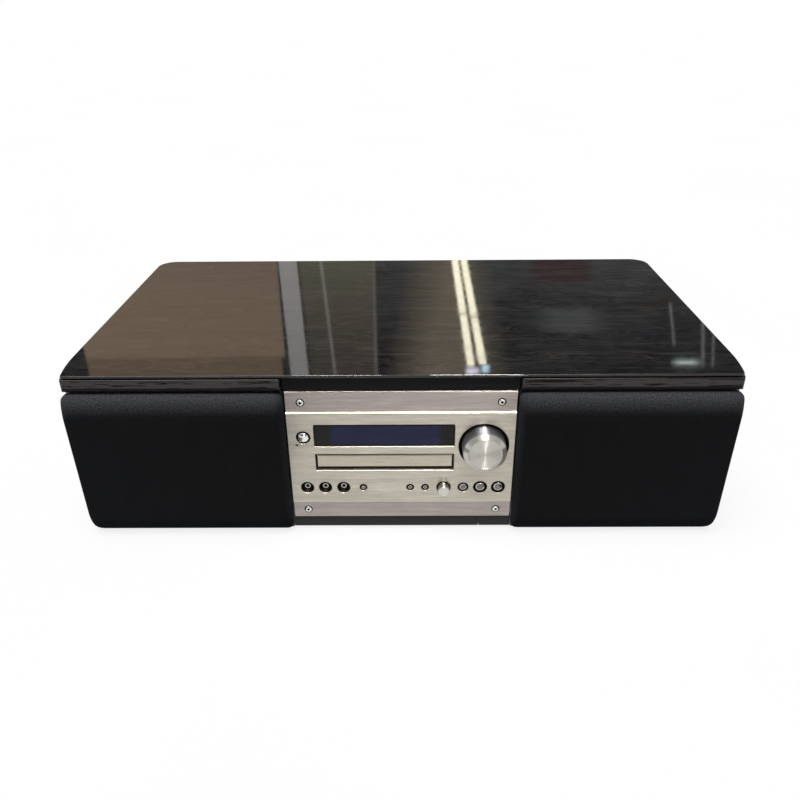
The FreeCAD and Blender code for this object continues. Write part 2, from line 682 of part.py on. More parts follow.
def grille_frame():
    """Frame inside the cloth, with a window for the drivers and four pegs."""
    back = CABINET_Y - GRILLE_SEAT_GAP
    solid = grille_form(CLOTH_T + CLOTH_GAP)
    x0 = CABINET_IN_X + FRAME_BAR
    x1 = CABINET_OUT_X - FRAME_BAR
    z0 = CABINET_Z + FRAME_BAR + 4.0
    z1 = GRILLE_TOP - FRAME_BAR - 4.0
    bar = 4.0
    bar_x = (TWEETER_X + TWEETER_FLANGE_R + WOOFER_X - WOOFER_FLANGE_R) / 2
    radii = (8.0,) * 4
    window = plate(x0, x1, z0, z1, back - GRILLE_DEPTH, back, radii)
    cross = box(bar_x - bar, bar_x + bar, back - GRILLE_DEPTH, back, z0, z1)
    frame = solid.cut(window.cut(cross))
    pegs = [rod_y(x, z, back - 0.5, back + PEG_L, PEG_R) for x, z in peg_places()]
    return join([frame] + pegs)


# Receiver's front

def round_openings():
    """X, height and radius of each round hole for the sockets, buttons, knobs and lamp."""
    places = [(x, ROW_H, JACK_HOLE_R) for x in JACK_XS]
    places += [(x, h, cap_r + ring) for _, x, h, cap_r, ring, _ in BUTTONS]
    places.append((KNOB_X, KNOB_H, KNOB_R + KNOB_RING))
    places.append((SELECTOR_X, ROW_H, SELECTOR_R + SELECTOR_RING))
    places.append((LED_X, LED_H, LED_R + 0.1))
    return places


def window_hole(y0, y1, extra):
    r = WINDOW_CORNER_R + extra
    return plate(
        WINDOW_LEFT - extra, WINDOW_RIGHT + extra, height(WINDOW_LOW) - extra, height(WINDOW_HIGH) + extra,
        y0, y1, (r / 3, r / 3, r, r),
    )


def drawer_hole(y0, y1, extra):
    half = SLOT_W / 2 + extra
    r = 0.8
    return plate(
        DRAWER_X - half, DRAWER_X + half, height(SLOT_LOW) - extra, height(SLOT_HIGH) + extra,
        y0, y1, (r, r, r, r),
    )


def face_main_plate():
    """Raised brushed plate with every control opening, its edges broken all round."""
    half = PANEL_W / 2
    blank = box(-half, half, MAIN_Y, FACE_Y, PANEL_Z + LOWER_STRIP_H, PANEL_TOP - UPPER_STRIP_H)
    blank = blank.makeChamfer(PLATE_CHAMFER, edges_at(blank, "Y", MAIN_Y, "X"))
    blank = blank.cut(window_hole(MAIN_Y, FACE_Y, 0.0)).cut(drawer_hole(MAIN_Y, FACE_Y, 0.0))
    rims = [
        edge for edge in edges_at(blank, "Y", MAIN_Y)
        if max(abs(edge.BoundBox.XMin), abs(edge.BoundBox.XMax)) < half - 1
    ]
    blank = blank.makeChamfer(HOLE_CHAMFER, rims)
    cutters = []
    for x, h, r in round_openings():
        z = height(h)
        cutters.append(rod_y(x, z, MAIN_Y, FACE_Y, r))
        cutters.append(cone_y(x, z, MAIN_Y, MAIN_Y + HOLE_CHAMFER, r + HOLE_CHAMFER, r))
    return less(blank, cutters)


def face_base_plate():
    """Full-size plate behind the raised one; it shows as a strip above and below."""
    half = PANEL_W / 2
    edge_r = 1.6
    blank = box(-half, half, FACE_Y, SUB_Y, PANEL_Z, PANEL_TOP)
    front = [e for e in edges_at(blank, "Y", FACE_Y, "X") if e.BoundBox.ZMin > PANEL_Z + 1]
    blank = blank.makeFillet(edge_r, front)
    cutters = [rod_y(x, height(h), FACE_Y, SUB_Y, r) for x, h, r in round_openings()]
    cutters.append(window_hole(FACE_Y, SUB_Y, 0.0))
    cutters.append(drawer_hole(FACE_Y, SUB_Y, 0.0))
    for x in (-SCREW_X, SCREW_X):
        for h in SCREW_HEIGHTS:
            cutters.append(rod_y(x, height(h), FACE_Y, FACE_Y + SCREW_SINK, SCREW_HEAD_R + 0.5))
            cutters.append(rod_y(x, height(h), FACE_Y, SUB_Y, SCREW_SHANK_R + FLUSH_GAP))
    return less(blank, cutters)


def face_screws():
    """Button-head socket screws at the four corners."""
    screws = []
    y_head = FACE_Y + SCREW_SINK
    front = y_head - SCREW_HEAD_H
    for x in (-SCREW_X, SCREW_X):
        for h in SCREW_HEIGHTS:
            z = height(h)
            flat_r = SCREW_HEAD_R * 0.45
            rim_y = y_head - 0.3
            screw = turned_y([
                ((0.0, front), (flat_r, front)),
                ((flat_r, front), (SCREW_HEAD_R * 0.86, front + 0.5), (SCREW_HEAD_R, rim_y)),
                ((SCREW_HEAD_R, rim_y), (SCREW_HEAD_R, y_head)),
                ((SCREW_HEAD_R, y_head), (SCREW_SHANK_R, y_head)),
                ((SCREW_SHANK_R, y_head), (SCREW_SHANK_R, CASE_Y)),
                ((SCREW_SHANK_R, CASE_Y), (0.0, CASE_Y)),
                ((0.0, CASE_Y), (0.0, front)),
            ], x, z)
            points = [
                V(x + SCREW_SOCKET_R * math.cos(math.radians(60 * i)), front,
                  z + SCREW_SOCKET_R * math.sin(math.radians(60 * i)))
                for i in range(7)
            ]
            socket = Part.Face(Part.makePolygon(points)).extrude(V(0, 1.1, 0))
            screws.append(screw.cut(socket))
    return group(screws)


def front_subpanel():
    """Black moulding behind the plates; it is the floor of every well and guides the buttons."""
    half = CASE_HALF_W
    blank = box(-half, half, SUB_Y, CASE_Y, PANEL_Z + SUBPANEL_INSET, PANEL_TOP - SUBPANEL_INSET)
    cutters = [drawer_hole(SUB_Y, CASE_Y, 0.0)]
    for x in JACK_XS:
        cutters.append(rod_y(x, height(ROW_H), SUB_Y, CASE_Y, JACK_RING_R + FLUSH_GAP))
    for _, x, h, _, _, _ in BUTTONS:
        cutters.append(rod_y(x, height(h), SUB_Y, CASE_Y, BUTTON_STEM_R + RUNNING_GAP))
    cutters.append(rod_y(KNOB_X, height(KNOB_H), SUB_Y, CASE_Y, KNOB_SHAFT_R + 0.4))
    cutters.append(rod_y(SELECTOR_X, height(ROW_H), SUB_Y, CASE_Y, SELECTOR_SHAFT_R + 0.4))
    cutters.append(rod_y(LED_X, height(LED_H), SUB_Y, CASE_Y, LED_R + 0.1))
    for x in (-SCREW_X, SCREW_X):
        for h in SCREW_HEIGHTS:
            cutters.append(rod_y(x, height(h), SUB_Y, CASE_Y, SCREW_SHANK_R + FLUSH_GAP))
    z = height((WINDOW_LOW + WINDOW_HIGH) / 2)
    half_w = DISPLAY_W / 2
    half_h = DISPLAY_H / 2
    cutters.append(box(DISPLAY_X - half_w, DISPLAY_X + half_w, SUB_Y, CASE_Y, z - half_h, z + half_h))
    return less(blank, cutters)


def display_window():
    """Smoked window, set back in its opening, resting on the sub-panel."""
    return window_hole(MAIN_Y + WINDOW_SINK, SUB_Y, -FLUSH_GAP)


def display_tube():
    """Flat display tube between the sub-panel and the control board."""
    z = height((WINDOW_LOW + WINDOW_HIGH) / 2)
    margin = 2.0
    half_w = DISPLAY_W / 2 + margin
    half_h = DISPLAY_H / 2 + margin
    x0 = DISPLAY_X - half_w
    x1 = DISPLAY_X + half_w
    low = z - half_h
    glass = box(x0, x1, CASE_Y + 1.0, PCB_Y - 2.0, low, z + half_h)
    legs = box(x0 + 5, x1 - 5, PCB_Y - 2.0, PCB_Y, low, low + 2.0)
    tip = rod_x(x1, x1 + 4.0, (CASE_Y + PCB_Y) / 2, z, 2.0)
    return join([glass, legs, tip])


def control_board():
    """Circuit board with a switch behind each button and an encoder behind each knob."""
    low = height(22.0)
    high = height(112.0)
    half = 100.0
    pcb = box(-half, half, PCB_Y, PCB_Y + PCB_T, low, high)
    slot = box(
        DRAWER_X - DECK_OUT, DRAWER_X + DECK_OUT, PCB_Y, PCB_Y + PCB_T,
        height(SLOT_LOW) - 2.0, height(SLOT_HIGH) + 2.0,
    )
    pcb = pcb.cut(slot)
    half_switch = 2.6
    pieces = [pcb]
    for _, x, h, _, _, _ in BUTTONS:
        z = height(h)
        pieces.append(box(
            x - half_switch, x + half_switch, PCB_Y - SWITCH_T, PCB_Y, z - half_switch, z + half_switch,
        ))
    for x, h, shaft_r, size in (
        (KNOB_X, KNOB_H, KNOB_SHAFT_R, 7.0),
        (SELECTOR_X, ROW_H, SELECTOR_SHAFT_R, 5.5),
    ):
        z = height(h)
        body = box(x - size, x + size, CASE_Y + 1.0, PCB_Y, z - size, z + size)
        pieces.append(body.cut(rod_y(x, z, CASE_Y, PCB_Y, shaft_r + RUNNING_GAP)))
    pieces.append(box(-half + 2, -half + 14, PCB_Y + PCB_T, PCB_Y + 8.0, low + 4, low + 12))
    pieces.append(box(half - 24, half - 4, PCB_Y + PCB_T, PCB_Y + 8.0, low + 4, low + 12))
    return join(pieces)


def standby_led():
    z = height(LED_H)
    lens = rod_y(LED_X, z, MAIN_Y + 0.3, PCB_Y - 2.0, LED_R)
    legs = rod_y(LED_X, z, PCB_Y - 2.0, PCB_Y, 0.5)
    return join([lens, legs])


def input_jacks():
    """Three panel sockets: a plated ring in a black well, and a moulded body behind."""
    jacks = []
    z = height(ROW_H)
    face = MAIN_Y + JACK_SINK
    body = 5.5
    for x in JACK_XS:
        ring = rod_y(x, z, face, CASE_Y, JACK_RING_R)
        block = box(x - body, x + body, CASE_Y, PCB_Y, z - body, z + body)
        jacks.append(join([ring, block]).cut(rod_y(x, z, face, face + JACK_BORE_L, JACK_BORE_R)))
    return group(jacks)


def button(x, h, cap_r, proud):
    """Domed cap on a stem that runs through the sub-panel to its switch."""
    z = height(h)
    front = MAIN_Y - proud
    back = SUB_Y - BUTTON_TRAVEL - 0.6
    rise = cap_r * 0.2 + proud * 0.5
    edge = front + rise
    stem_back = PCB_Y - SWITCH_T - BUTTON_TRAVEL - 0.2
    return turned_y([
        dome_arc(cap_r, front, rise),
        ((cap_r, edge), (cap_r, back)),
        ((cap_r, back), (BUTTON_STEM_R, back)),
        ((BUTTON_STEM_R, back), (BUTTON_STEM_R, stem_back)),
        ((BUTTON_STEM_R, stem_back), (0.0, stem_back)),
        ((0.0, stem_back), (0.0, front)),
    ], x, z)


def volume_knob():
    """Hollow turned knob with a bevelled face and its own shaft."""
    front = FACE_Y - KNOB_REACH
    back = FACE_Y + 2.0
    wall = 2.4
    boss_r = KNOB_SHAFT_R + 2.5
    shaft_back = PCB_Y - 1.0
    groove = 0.5
    groove_y = front + KNOB_BEVEL_D + 0.8
    lip = 0.3
    return turned_y(polygon_profile((
        (0.0, front + 0.3), (KNOB_FACE_R - 0.8, front + 0.3), (KNOB_FACE_R - 0.3, front),
        (KNOB_FACE_R + 0.2, front),
        (KNOB_R - lip, front + KNOB_BEVEL_D - lip), (KNOB_R, front + KNOB_BEVEL_D),
        (KNOB_R, groove_y), (KNOB_R - groove, groove_y + groove), (KNOB_R, groove_y + 2 * groove),
        (KNOB_R, back), (KNOB_R - wall, back), (KNOB_R - wall, front + KNOB_BEVEL_D + wall),
        (boss_r, front + KNOB_BEVEL_D + wall), (boss_r, back), (KNOB_SHAFT_R, back),
        (KNOB_SHAFT_R, shaft_back), (0.0, shaft_back),
    )), KNOB_X, height(KNOB_H))


def selector_knob():
    front = MAIN_Y - SELECTOR_REACH
    back = FACE_Y + 2.0
    break_edge = 0.5
    return turned_y(polygon_profile((
        (0.0, front), (SELECTOR_R - break_edge, front), (SELECTOR_R, front + break_edge),
        (SELECTOR_R, back), (SELECTOR_SHAFT_R, back), (SELECTOR_SHAFT_R, PCB_Y - 1.0), (0.0, PCB_Y - 1.0),
    )), SELECTOR_X, height(ROW_H))


# Receiver's case

def header_strip():
    """Black strip between the panel's top and the board."""
    half = CABINET_IN_X - PLAY_GAP
    return box(-half, half, FACE_Y + HEADER_FACE, CASE_Y, PANEL_TOP + HEADER_LOW, CABINET_TOP)


def plinth_strip():
    """Dark strip under the panel, in a long and a short length that meet on a slanting joint."""
    half = CABINET_IN_X - PLAY_GAP
    top = PANEL_Z - 0.5
    low = CABINET_Z + PLINTH_RISE
    joint_x = 71.5
    lean = 4.0
    kerf = 0.5
    blank = box(-half, half, FACE_Y + PLINTH_FACE, CASE_Y, low, top)
    y0 = FACE_Y + PLINTH_FACE - 1
    corners = ((joint_x, top), (joint_x + kerf, top),
               (joint_x + lean + kerf, low), (joint_x + lean, low), (joint_x, top))
    cutter = Part.Face(Part.makePolygon([V(x, y0, z) for x, z in corners])).extrude(V(0, 20, 0))
    return blank.cut(cutter)


def chassis_pan():
    """Folded steel tray under the receiver, with louvres in its floor."""
    half = CASE_HALF_W - SHEET_T - CASE_FIT
    flange = 14.0
    z0 = CASE_UNDER
    floor = box(-half, half, CASE_Y, REAR_Y, z0, z0 + SHEET_T)
    front = box(-half, half, CASE_Y, CASE_Y + SHEET_T, z0, z0 + flange)
    left = box(-half, -half + SHEET_T, CASE_Y, REAR_Y, z0, z0 + flange)
    right = box(half - SHEET_T, half, CASE_Y, REAR_Y, z0, z0 + flange)
    pan = join([floor, front, left, right])
    louvres = []
    for i in range(10):
        x = -72.0 + 16.0 * i
        louvres.append(box(x - 1.5, x + 1.5, REAR_Y - 130.0, REAR_Y - 85.0, z0, z0 + SHEET_T))
    return less(pan, louvres)


def case_cover():
    """Folded steel cover over the receiver, vented above the heat sink."""
    half = CASE_HALF_W
    top = CASE_TOP
    z0 = CASE_UNDER
    roof = box(-half, half, CASE_Y, REAR_Y + SHEET_T, top - SHEET_T, top)
    left = box(-half, -half + SHEET_T, CASE_Y, REAR_Y + SHEET_T, z0, top)
    right = box(half - SHEET_T, half, CASE_Y, REAR_Y + SHEET_T, z0, top)
    cover = join([roof, left, right])
    vents = []
    for i in range(12):
        x = -88.0 + 16.0 * i
        vents.append(box(x - 1.5, x + 1.5, REAR_Y - 110.0, REAR_Y - 40.0, top - SHEET_T, top))
    return less(cover, vents)


def rear_panel():
    """Steel back with openings for the sockets and rows of vent slots."""
    half = CASE_HALF_W - SHEET_T - CASE_FIT
    y0 = REAR_Y
    y1 = REAR_Y + SHEET_T
    panel = box(-half, half, y0, y1, CASE_UNDER, CASE_TOP - SHEET_T - CASE_FIT)
    cutters = [rod_y(x, height(h), y0, y1, RCA_SLEEVE_R + 0.8) for x in RCA_XS for h in RCA_HEIGHTS]
    inlet_z = height(INLET_H)
    aerial_z = height(AERIAL_H)
    cutters.append(box(
        INLET_X - INLET_FLANGE_W / 2 + 2, INLET_X + INLET_FLANGE_W / 2 - 2, y0, y1,
        inlet_z - INLET_FLANGE_H / 2 + 2, inlet_z + INLET_FLANGE_H / 2 - 2,
    ))
    cutters.append(rod_y(AERIAL_X, aerial_z, y0, y1, COAX_R + 2.0))
    cutters.append(box(AERIAL_X + 12, AERIAL_X + 32, y0, y1, aerial_z - 7, aerial_z + 7))
    for i in range(11):
        x = -60.0 + 12.0 * i
        cutters.append(box(x - 1.5, x + 1.5, y0, y1, PANEL_TOP - 32.0, PANEL_TOP - 6.0))
    return less(panel, cutters)


def ac_inlet():
    """Two-pin mains inlet: a flanged body with a stadium cavity and two pins."""
    y1 = REAR_Y + SHEET_T
    z = height(INLET_H)
    face = y1 + 2.0
    half_w = INLET_FLANGE_W / 2
    half_h = INLET_FLANGE_H / 2
    flange = plate(INLET_X - half_w, INLET_X + half_w, z - half_h, z + half_h, y1, face, (2.0,) * 4)
    body = box(
        INLET_X - half_w + 2.2, INLET_X + half_w - 2.2, REAR_Y - 15.0, y1, z - half_h + 2.2, z + half_h - 2.2,
    )
    r = INLET_CAVITY_H / 2 - 0.05
    cavity = plate(
        INLET_X - INLET_CAVITY_W / 2, INLET_X + INLET_CAVITY_W / 2,
        z - INLET_CAVITY_H / 2, z + INLET_CAVITY_H / 2,
        face - INLET_DEPTH, face, (r,) * 4,
    )
    shell = join([flange, body]).cut(cavity)
    pins = [rod_y(INLET_X + dx, z, face - INLET_DEPTH - 1.0, face - 4.0, 1.2) for dx in (-4.3, 4.3)]
    return join([shell] + pins)


def rca_jacks():
    """Six phono sockets on one moulded block: stereo in, stereo out and a spare pair."""
    low = height(RCA_HEIGHTS[0])
    high = height(RCA_HEIGHTS[-1])
    block = box(RCA_XS[0] - 9, RCA_XS[-1] + 9, REAR_Y - 12.0, REAR_Y, low - 9, high + 9)
    collar_r = RCA_SLEEVE_R + 0.6
    y1 = REAR_Y + SHEET_T
    sleeves = []
    bores = []
    for x in RCA_XS:
        for h in RCA_HEIGHTS:
            sleeves.append(rod_y(x, height(h), REAR_Y, y1, collar_r))
            sleeves.append(rod_y(x, height(h), y1, y1 + RCA_REACH, RCA_SLEEVE_R))
            bores.append(rod_y(x, height(h), y1, y1 + RCA_REACH, 1.7))
    return join([block] + sleeves).cut(Part.makeCompound(bores))


def antenna_terminal():
    """Threaded coaxial stub and a pair of push terminals."""
    y1 = REAR_Y + SHEET_T
    z = height(AERIAL_H)
    block = box(AERIAL_X - 9, AERIAL_X + 34, REAR_Y - 12.0, REAR_Y, z - 10, z + 10)
    stub = rod_y(AERIAL_X, z, REAR_Y, y1 + 9.0, COAX_R)
    bore = rod_y(AERIAL_X, z, y1 + 1.0, y1 + 9.0, 1.0)
    push = box(AERIAL_X + 12.5, AERIAL_X + 31.5, REAR_Y, y1 + 4.0, z - 6.5, z + 6.5)
    wells = [rod_y(AERIAL_X + dx, z - 2.0, y1 - 2.0, y1 + 4.0, 1.4) for dx in (17.5, 26.5)]
    return join([block, stub, push]).cut(Part.makeCompound([bore] + wells))


def main_board():
    """Tuner and amplifier board on stand-offs, with its larger components."""
    x0, x1 = -98.0, 40.0
    y0, y1 = REAR_Y - 125.0, REAR_Y - 16.0
    floor = CASE_UNDER + SHEET_T
    z0 = floor + 6.0
    z1 = z0 + PCB_T
    pieces = [box(x0, x1, y0, y1, z0, z1)]
    for x in (x0 + 6, x1 - 6):
        for y in (y0 + 6, y1 - 6):
            pieces.append(rod_z(x, y, floor, z0, 3.0))
    tuner_can = box(x0 + 8, x0 + 44, y1 - 50, y1 - 20, z1, z1 + 14.0)
    relay = box(x0 + 50, x0 + 68, y1 - 26, y1 - 12, z1, z1 + 15.0)
    chip = box(x0 + 68, x0 + 92, y0 + 20, y0 + 44, z1, z1 + 2.2)
    header = box(x0 + 98, x0 + 104, y0 + 14, y0 + 44, z1, z1 + 9.0)
    pieces += [tuner_can, relay, chip, header]
    for i in range(2):
        pieces.append(rod_z(x1 - 16, y0 + 24 + 30 * i, z1, z1 + 36.0, 12.0))
    for i in range(5):
        pieces.append(rod_z(x0 + 56 + 12 * i, y0 + 60, z1, z1 + 12.0, 4.0))
    return join(pieces)


def power_transformer():
    """Frame transformer bolted to the pan beside the mains inlet."""
    x0, x1 = 50.0, 98.0
    y0, y1 = REAR_Y - 110.0, REAR_Y - 52.0
    floor = CASE_UNDER + SHEET_T
    z1 = floor + 50.0
    core_x0, core_x1 = x0 + 12, x1 - 12
    core = box(core_x0, core_x1, y0, y1, floor + 2.0, z1)
    foot = box(core_x0, core_x1, y0 - 10, y1 + 10, floor, floor + 2.0)
    holes = [rod_z((core_x0 + core_x1) / 2, y, floor, floor + 2.0, 2.1) for y in (y0 - 5, y1 + 5)]
    winding = slab(x0, x1, y0 + 12, y1 - 12, floor + 10.0, z1 - 8.0, (5.0,) * 4)
    return join([core, foot.cut(Part.makeCompound(holes)), winding])


def heat_sink():
    """Extruded sink with fins, standing on the main board."""
    x0, x1 = -94.0, -34.0
    y0 = REAR_Y - 118.0
    z0 = CASE_UNDER + SHEET_T + 6.0 + PCB_T
    z1 = z0 + 62.0
    pieces = [box(x0, x1, y0, y0 + 4.0, z0, z1)]
    for i in range(9):
        x = x0 + 1.0 + 7.2 * i
        pieces.append(box(x, x + 1.8, y0 + 4.0, y0 + 24.0, z0, z1))
    return join(pieces)


# Disc mechanism

def tooth_points(radius, half_tip, half_root, tip_r, root_r, angle):
    points = []
    for half, r in ((-half_root, root_r), (-half_tip, tip_r), (half_tip, tip_r), (half_root, root_r)):
        a = angle + half / radius
        points.append((r * math.cos(a), r * math.sin(a)))
    return points


def spur_gear(x, y, z0, z1, module, teeth, bore_r, phase):
    """Straight-flanked spur gear about an upright axis."""
    pitch_r = module * teeth / 2
    tip_r = pitch_r + 0.75 * module
    root_r = pitch_r - 1.15 * module
    half_tip = module * 0.36
    half_root = module * 0.98
    outline = []
    for i in range(teeth):
        angle = phase + 2 * math.pi * i / teeth
        for px, py in tooth_points(pitch_r, half_tip, half_root, tip_r, root_r, angle):
            outline.append(V(x + px, y + py, z0))
    outline.append(outline[0])
    wheel = Part.Face(Part.makePolygon(outline)).extrude(V(0, 0, z1 - z0))
    return wheel.cut(rod_z(x, y, z0, z1, bore_r))


def tray_rack():
    """Toothed bar under the tray's right side; its teeth face the loading gear."""
    pitch = math.pi * RACK_MODULE
    z0 = TRAY_Z - 4.6
    tip = RACK_PITCH_X - 0.75 * RACK_MODULE
    root = RACK_PITCH_X + 1.15 * RACK_MODULE
    back = root + 2.0
    half_tip = RACK_MODULE * 0.42 - TOOTH_PLAY / 4
    half_root = RACK_MODULE * 1.12 - TOOTH_PLAY / 4
    start = GEAR_Y - 2.5 * pitch
    count = int((TRAVEL + 4 * pitch) / pitch)
    outline = [V(back, start, z0), V(root, start, z0)]
    for i in range(count):
        y = GEAR_Y + (i - 2) * pitch + pitch / 2
        for dx, dy in ((root, -half_root), (tip, -half_tip), (tip, half_tip), (root, half_root)):
            outline.append(V(dx, y + dy, z0))
    end = GEAR_Y + (count - 2) * pitch
    outline += [V(root, end, z0), V(back, end, z0), V(back, start, z0)]
    return Part.Face(Part.makePolygon(outline)).extrude(V(0, 0, TRAY_Z - z0))


def disc_tray():
    """Sliding tray: a deep ring for a disc, a shallow ring for a small one, and an open slot behind."""
    half = TRAY_W / 2
    x = DRAWER_X
    top = TRAY_Z + TRAY_T
    pocket_z = top - POCKET_DEPTH
    body = box(x - half, x + half, TRAY_Y, TRAY_BACK_Y, TRAY_Z, top)
    lip = box(x - LIP_HALF_W, x + LIP_HALF_W, DECK_Y + 1.0, TRAY_BACK_Y, TRAY_Z, TRAY_Z + TRAY_LIP_T)
    apron_z = height(SLOT_LOW) + 0.6
    apron_half = DRAWER_FRONT_W / 2 - 0.6
    notch_x = x - 40.0
    apron = box(x - apron_half, x + apron_half, TRAY_Y - FRONT_CLIP, TRAY_Y + 1.5, apron_z, TRAY_Z + 1.0)
    apron = apron.cut(box(notch_x - 6, notch_x + 6, TRAY_Y - 2, TRAY_Y + 2, apron_z, apron_z + 1.6))
    back_wall = box(x - half, x + half, TRAY_Y - FRONT_CLIP, TRAY_Y, TRAY_Z, top)
    blank = join([body, lip, apron, back_wall, tray_rack()])
    slot = box(x - TRAY_SLOT_W / 2, x + TRAY_SLOT_W / 2, DISC_Y - 18.0, TRAY_BACK_Y, TRAY_Z, top)
    deep = rod_z(x, DISC_Y, pocket_z, top, POCKET_R)
    shallow = rod_z(x, DISC_Y, pocket_z - SMALL_POCKET_DEPTH, top, SMALL_POCKET_R)
    return less(blank, [slot, deep, shallow])


def tray_front():
    """Brushed drawer front with bevelled edges, clipped to the tray."""
    half = DRAWER_FRONT_W / 2
    x = DRAWER_X
    low = height(DRAWER_FRONT_LOW)
    high = height(DRAWER_FRONT_HIGH)
    bar = box(x - half, x + half, TRAY_FRONT_Y, TRAY_Y - FRONT_CLIP, low, high)
    top = [e for e in edges_at(bar, "Y", TRAY_FRONT_Y, "X") if e.BoundBox.ZMin > low + 1]
    bar = bar.makeChamfer(DRAWER_BEVEL, top)
    face = edges_at(bar, "Y", TRAY_FRONT_Y)
    rest = [e for e in face if e.BoundBox.ZLength > 1 or e.BoundBox.ZMin < low + 1]
    return bar.makeChamfer(0.6, rest)


def deck_frame():
    """Moulded frame that guides the tray and stands on four legs on the pan."""
    x = DRAWER_X
    z0 = DECK_Z - DECK_FLOOR_T
    floor = box(x - DECK_OUT, x + DECK_OUT, DECK_Y, DECK_BACK_Y, z0, DECK_Z)
    opening = box(x - 40, x + 40, FACE_Y + 44.0, DECK_BACK_Y - 10.0, z0, DECK_Z)
    pieces = [floor.cut(opening)]
    ledge_in = TRAY_W / 2 + PLAY_GAP
    top = TRAY_Z + DECK_TOP
    for side in (-1, 1):
        wall_x = sorted((x + side * DECK_IN, x + side * DECK_OUT))
        ledge_x = sorted((x + side * ledge_in, x + side * (DECK_IN + 0.5)))
        pieces.append(box(*wall_x, DECK_Y, DECK_BACK_Y, z0, top))
        pieces.append(box(*ledge_x, DECK_Y, DECK_BACK_Y, TRAY_Z - 3.0, TRAY_Z - SLIDE_GAP))
        for y in (DECK_Y + 4.0, DISC_Y + 10.0, DECK_BACK_Y - 24.0):
            guide = TRAY_Z + TRAY_LIP_T + SLIDE_GAP
            pieces.append(box(*ledge_x, y, y + 16.0, guide, guide + 2.0))
        leg_x = sorted((x + side * (DECK_OUT - 8.0), x + side * DECK_OUT))
        for y in (DECK_Y + 2.0, DECK_BACK_Y - 12.0):
            pieces.append(box(*leg_x, y, y + 8.0, CASE_UNDER + SHEET_T, z0))
        boss = sorted((x + side * (TRAVERSE_HALF_W + 5.5), x + side * (TRAVERSE_HALF_W + 16.0)))
        boss_y = DISC_Y + HINGE_BACK
        pieces.append(box(*boss, boss_y - 4.0, boss_y + 4.0, z0, traverse_z() + 4.0))
    frame = join(pieces)
    cutters = [
        rod_x(x - 41.0, x + 41.0, DISC_Y + HINGE_BACK, traverse_z(), ROD_R + RUNNING_GAP),
        rod_z(motor_place()[0], motor_place()[1], z0, DECK_Z, 3.0),
    ]
    frame = less(frame, cutters)
    post = rod_z(GEAR_X, GEAR_Y, DECK_Z, DECK_Z + 11.0, 2.0)
    return join([frame, post])


def traverse_z():
    """Height of the traverse plate's middle, which is also its hinge."""
    return TRAY_Z - 9.0


def motor_place():
    """Centre of the loading motor, to the left of its wheel."""
    return GEAR_X - WHEEL_R - MOTOR_PINION_R - 0.15, GEAR_Y


def loading_gear():
    """Wheel driven by the motor, with the pinion that drives the tray's rack above it."""
    wheel_z = DECK_Z + 3.0
    bore = 2.0 + RUNNING_GAP
    hub = rod_z(GEAR_X, GEAR_Y, DECK_Z + 0.3, wheel_z, 4.5)
    hub = hub.cut(rod_z(GEAR_X, GEAR_Y, DECK_Z, wheel_z, bore))
    wheel = spur_gear(GEAR_X, GEAR_Y, wheel_z, wheel_z + 3.0, WHEEL_MODULE, WHEEL_TEETH, bore, 0.0)
    pinion = spur_gear(
        GEAR_X, GEAR_Y, wheel_z + 3.0, TRAY_Z - 0.6, RACK_MODULE, PINION_TEETH, bore, 0.0,
    )
    return join([hub, wheel, pinion])


def motor_pinion():
    x, y = motor_place()
    wheel_z = DECK_Z + 3.0
    half_tooth = math.pi / MOTOR_TEETH
    gear = spur_gear(x, y, wheel_z - 0.4, wheel_z + 3.4, WHEEL_MODULE, MOTOR_TEETH, 0.5, half_tooth)
    shaft = rod_z(x, y, DECK_Z - DECK_FLOOR_T - 6.0, wheel_z + 3.4, 1.0)
    return join([gear, shaft])


def loading_motor():
    """Small motor hung under the deck's floor."""
    x, y = motor_place()
    z1 = DECK_Z - DECK_FLOOR_T
    can = rod_z(x, y, z1 - 22.0, z1, 10.0)
    return can.cut(rod_z(x, y, z1 - 7.0, z1, 1.0 + RUNNING_GAP))


def traverse_frame():
    """Hinged plate with the spindle motor, the guide rods and their posts."""
    x = DRAWER_X
    z = traverse_z()
    y0 = DISC_Y - 24.0
    y1 = DISC_Y + HINGE_BACK + 4.0
    half = TRAVERSE_HALF_W
    thick = TRAVERSE_T / 2
    pieces = [box(x - half, x + half + 4.0, y0, y1, z - thick, z + thick)]
    post_top = z + 7.5
    for y in (DISC_Y + 8.0, DISC_Y + 70.0):
        for px in (-ROD_X, ROD_X, LEAD_SCREW_X):
            pieces.append(box(x + px - 3.0, x + px + 3.0, y, y + 4.0, z, post_top))
    for side in (-1, 1):
        start = x + side * (half - 2.0)
        end = x + side * (half + 10.0)
        pin = rod_x(min(start, end), max(start, end), DISC_Y + HINGE_BACK, z, ROD_R)
        pieces.append(pin)
    plate_solid = join(pieces)
    slot = box(x - 12.0, x + 12.0, DISC_Y + 16.0, DISC_Y + 68.0, z - thick, z + thick)
    screw_bore = rod_y(x + LEAD_SCREW_X, z + 5.0, DISC_Y + 6.0, DISC_Y + 76.0, ROD_R + RUNNING_GAP)
    spindle_bore = rod_z(x, DISC_Y, z - thick, z + thick, 3.0)
    plate_solid = less(plate_solid, [slot, screw_bore, spindle_bore])
    rods = [rod_y(x + px, z + 5.0, DISC_Y + 10.0, DISC_Y + 72.0, ROD_R) for px in (-ROD_X, ROD_X)]
    motor = rod_z(x, DISC_Y, z - thick - 8.0, z - thick, 11.0)
    motor = motor.cut(rod_z(x, DISC_Y, z - thick - 7.0, z - thick, 1.0 + RUNNING_GAP))
    return group([join([plate_solid] + rods), motor])


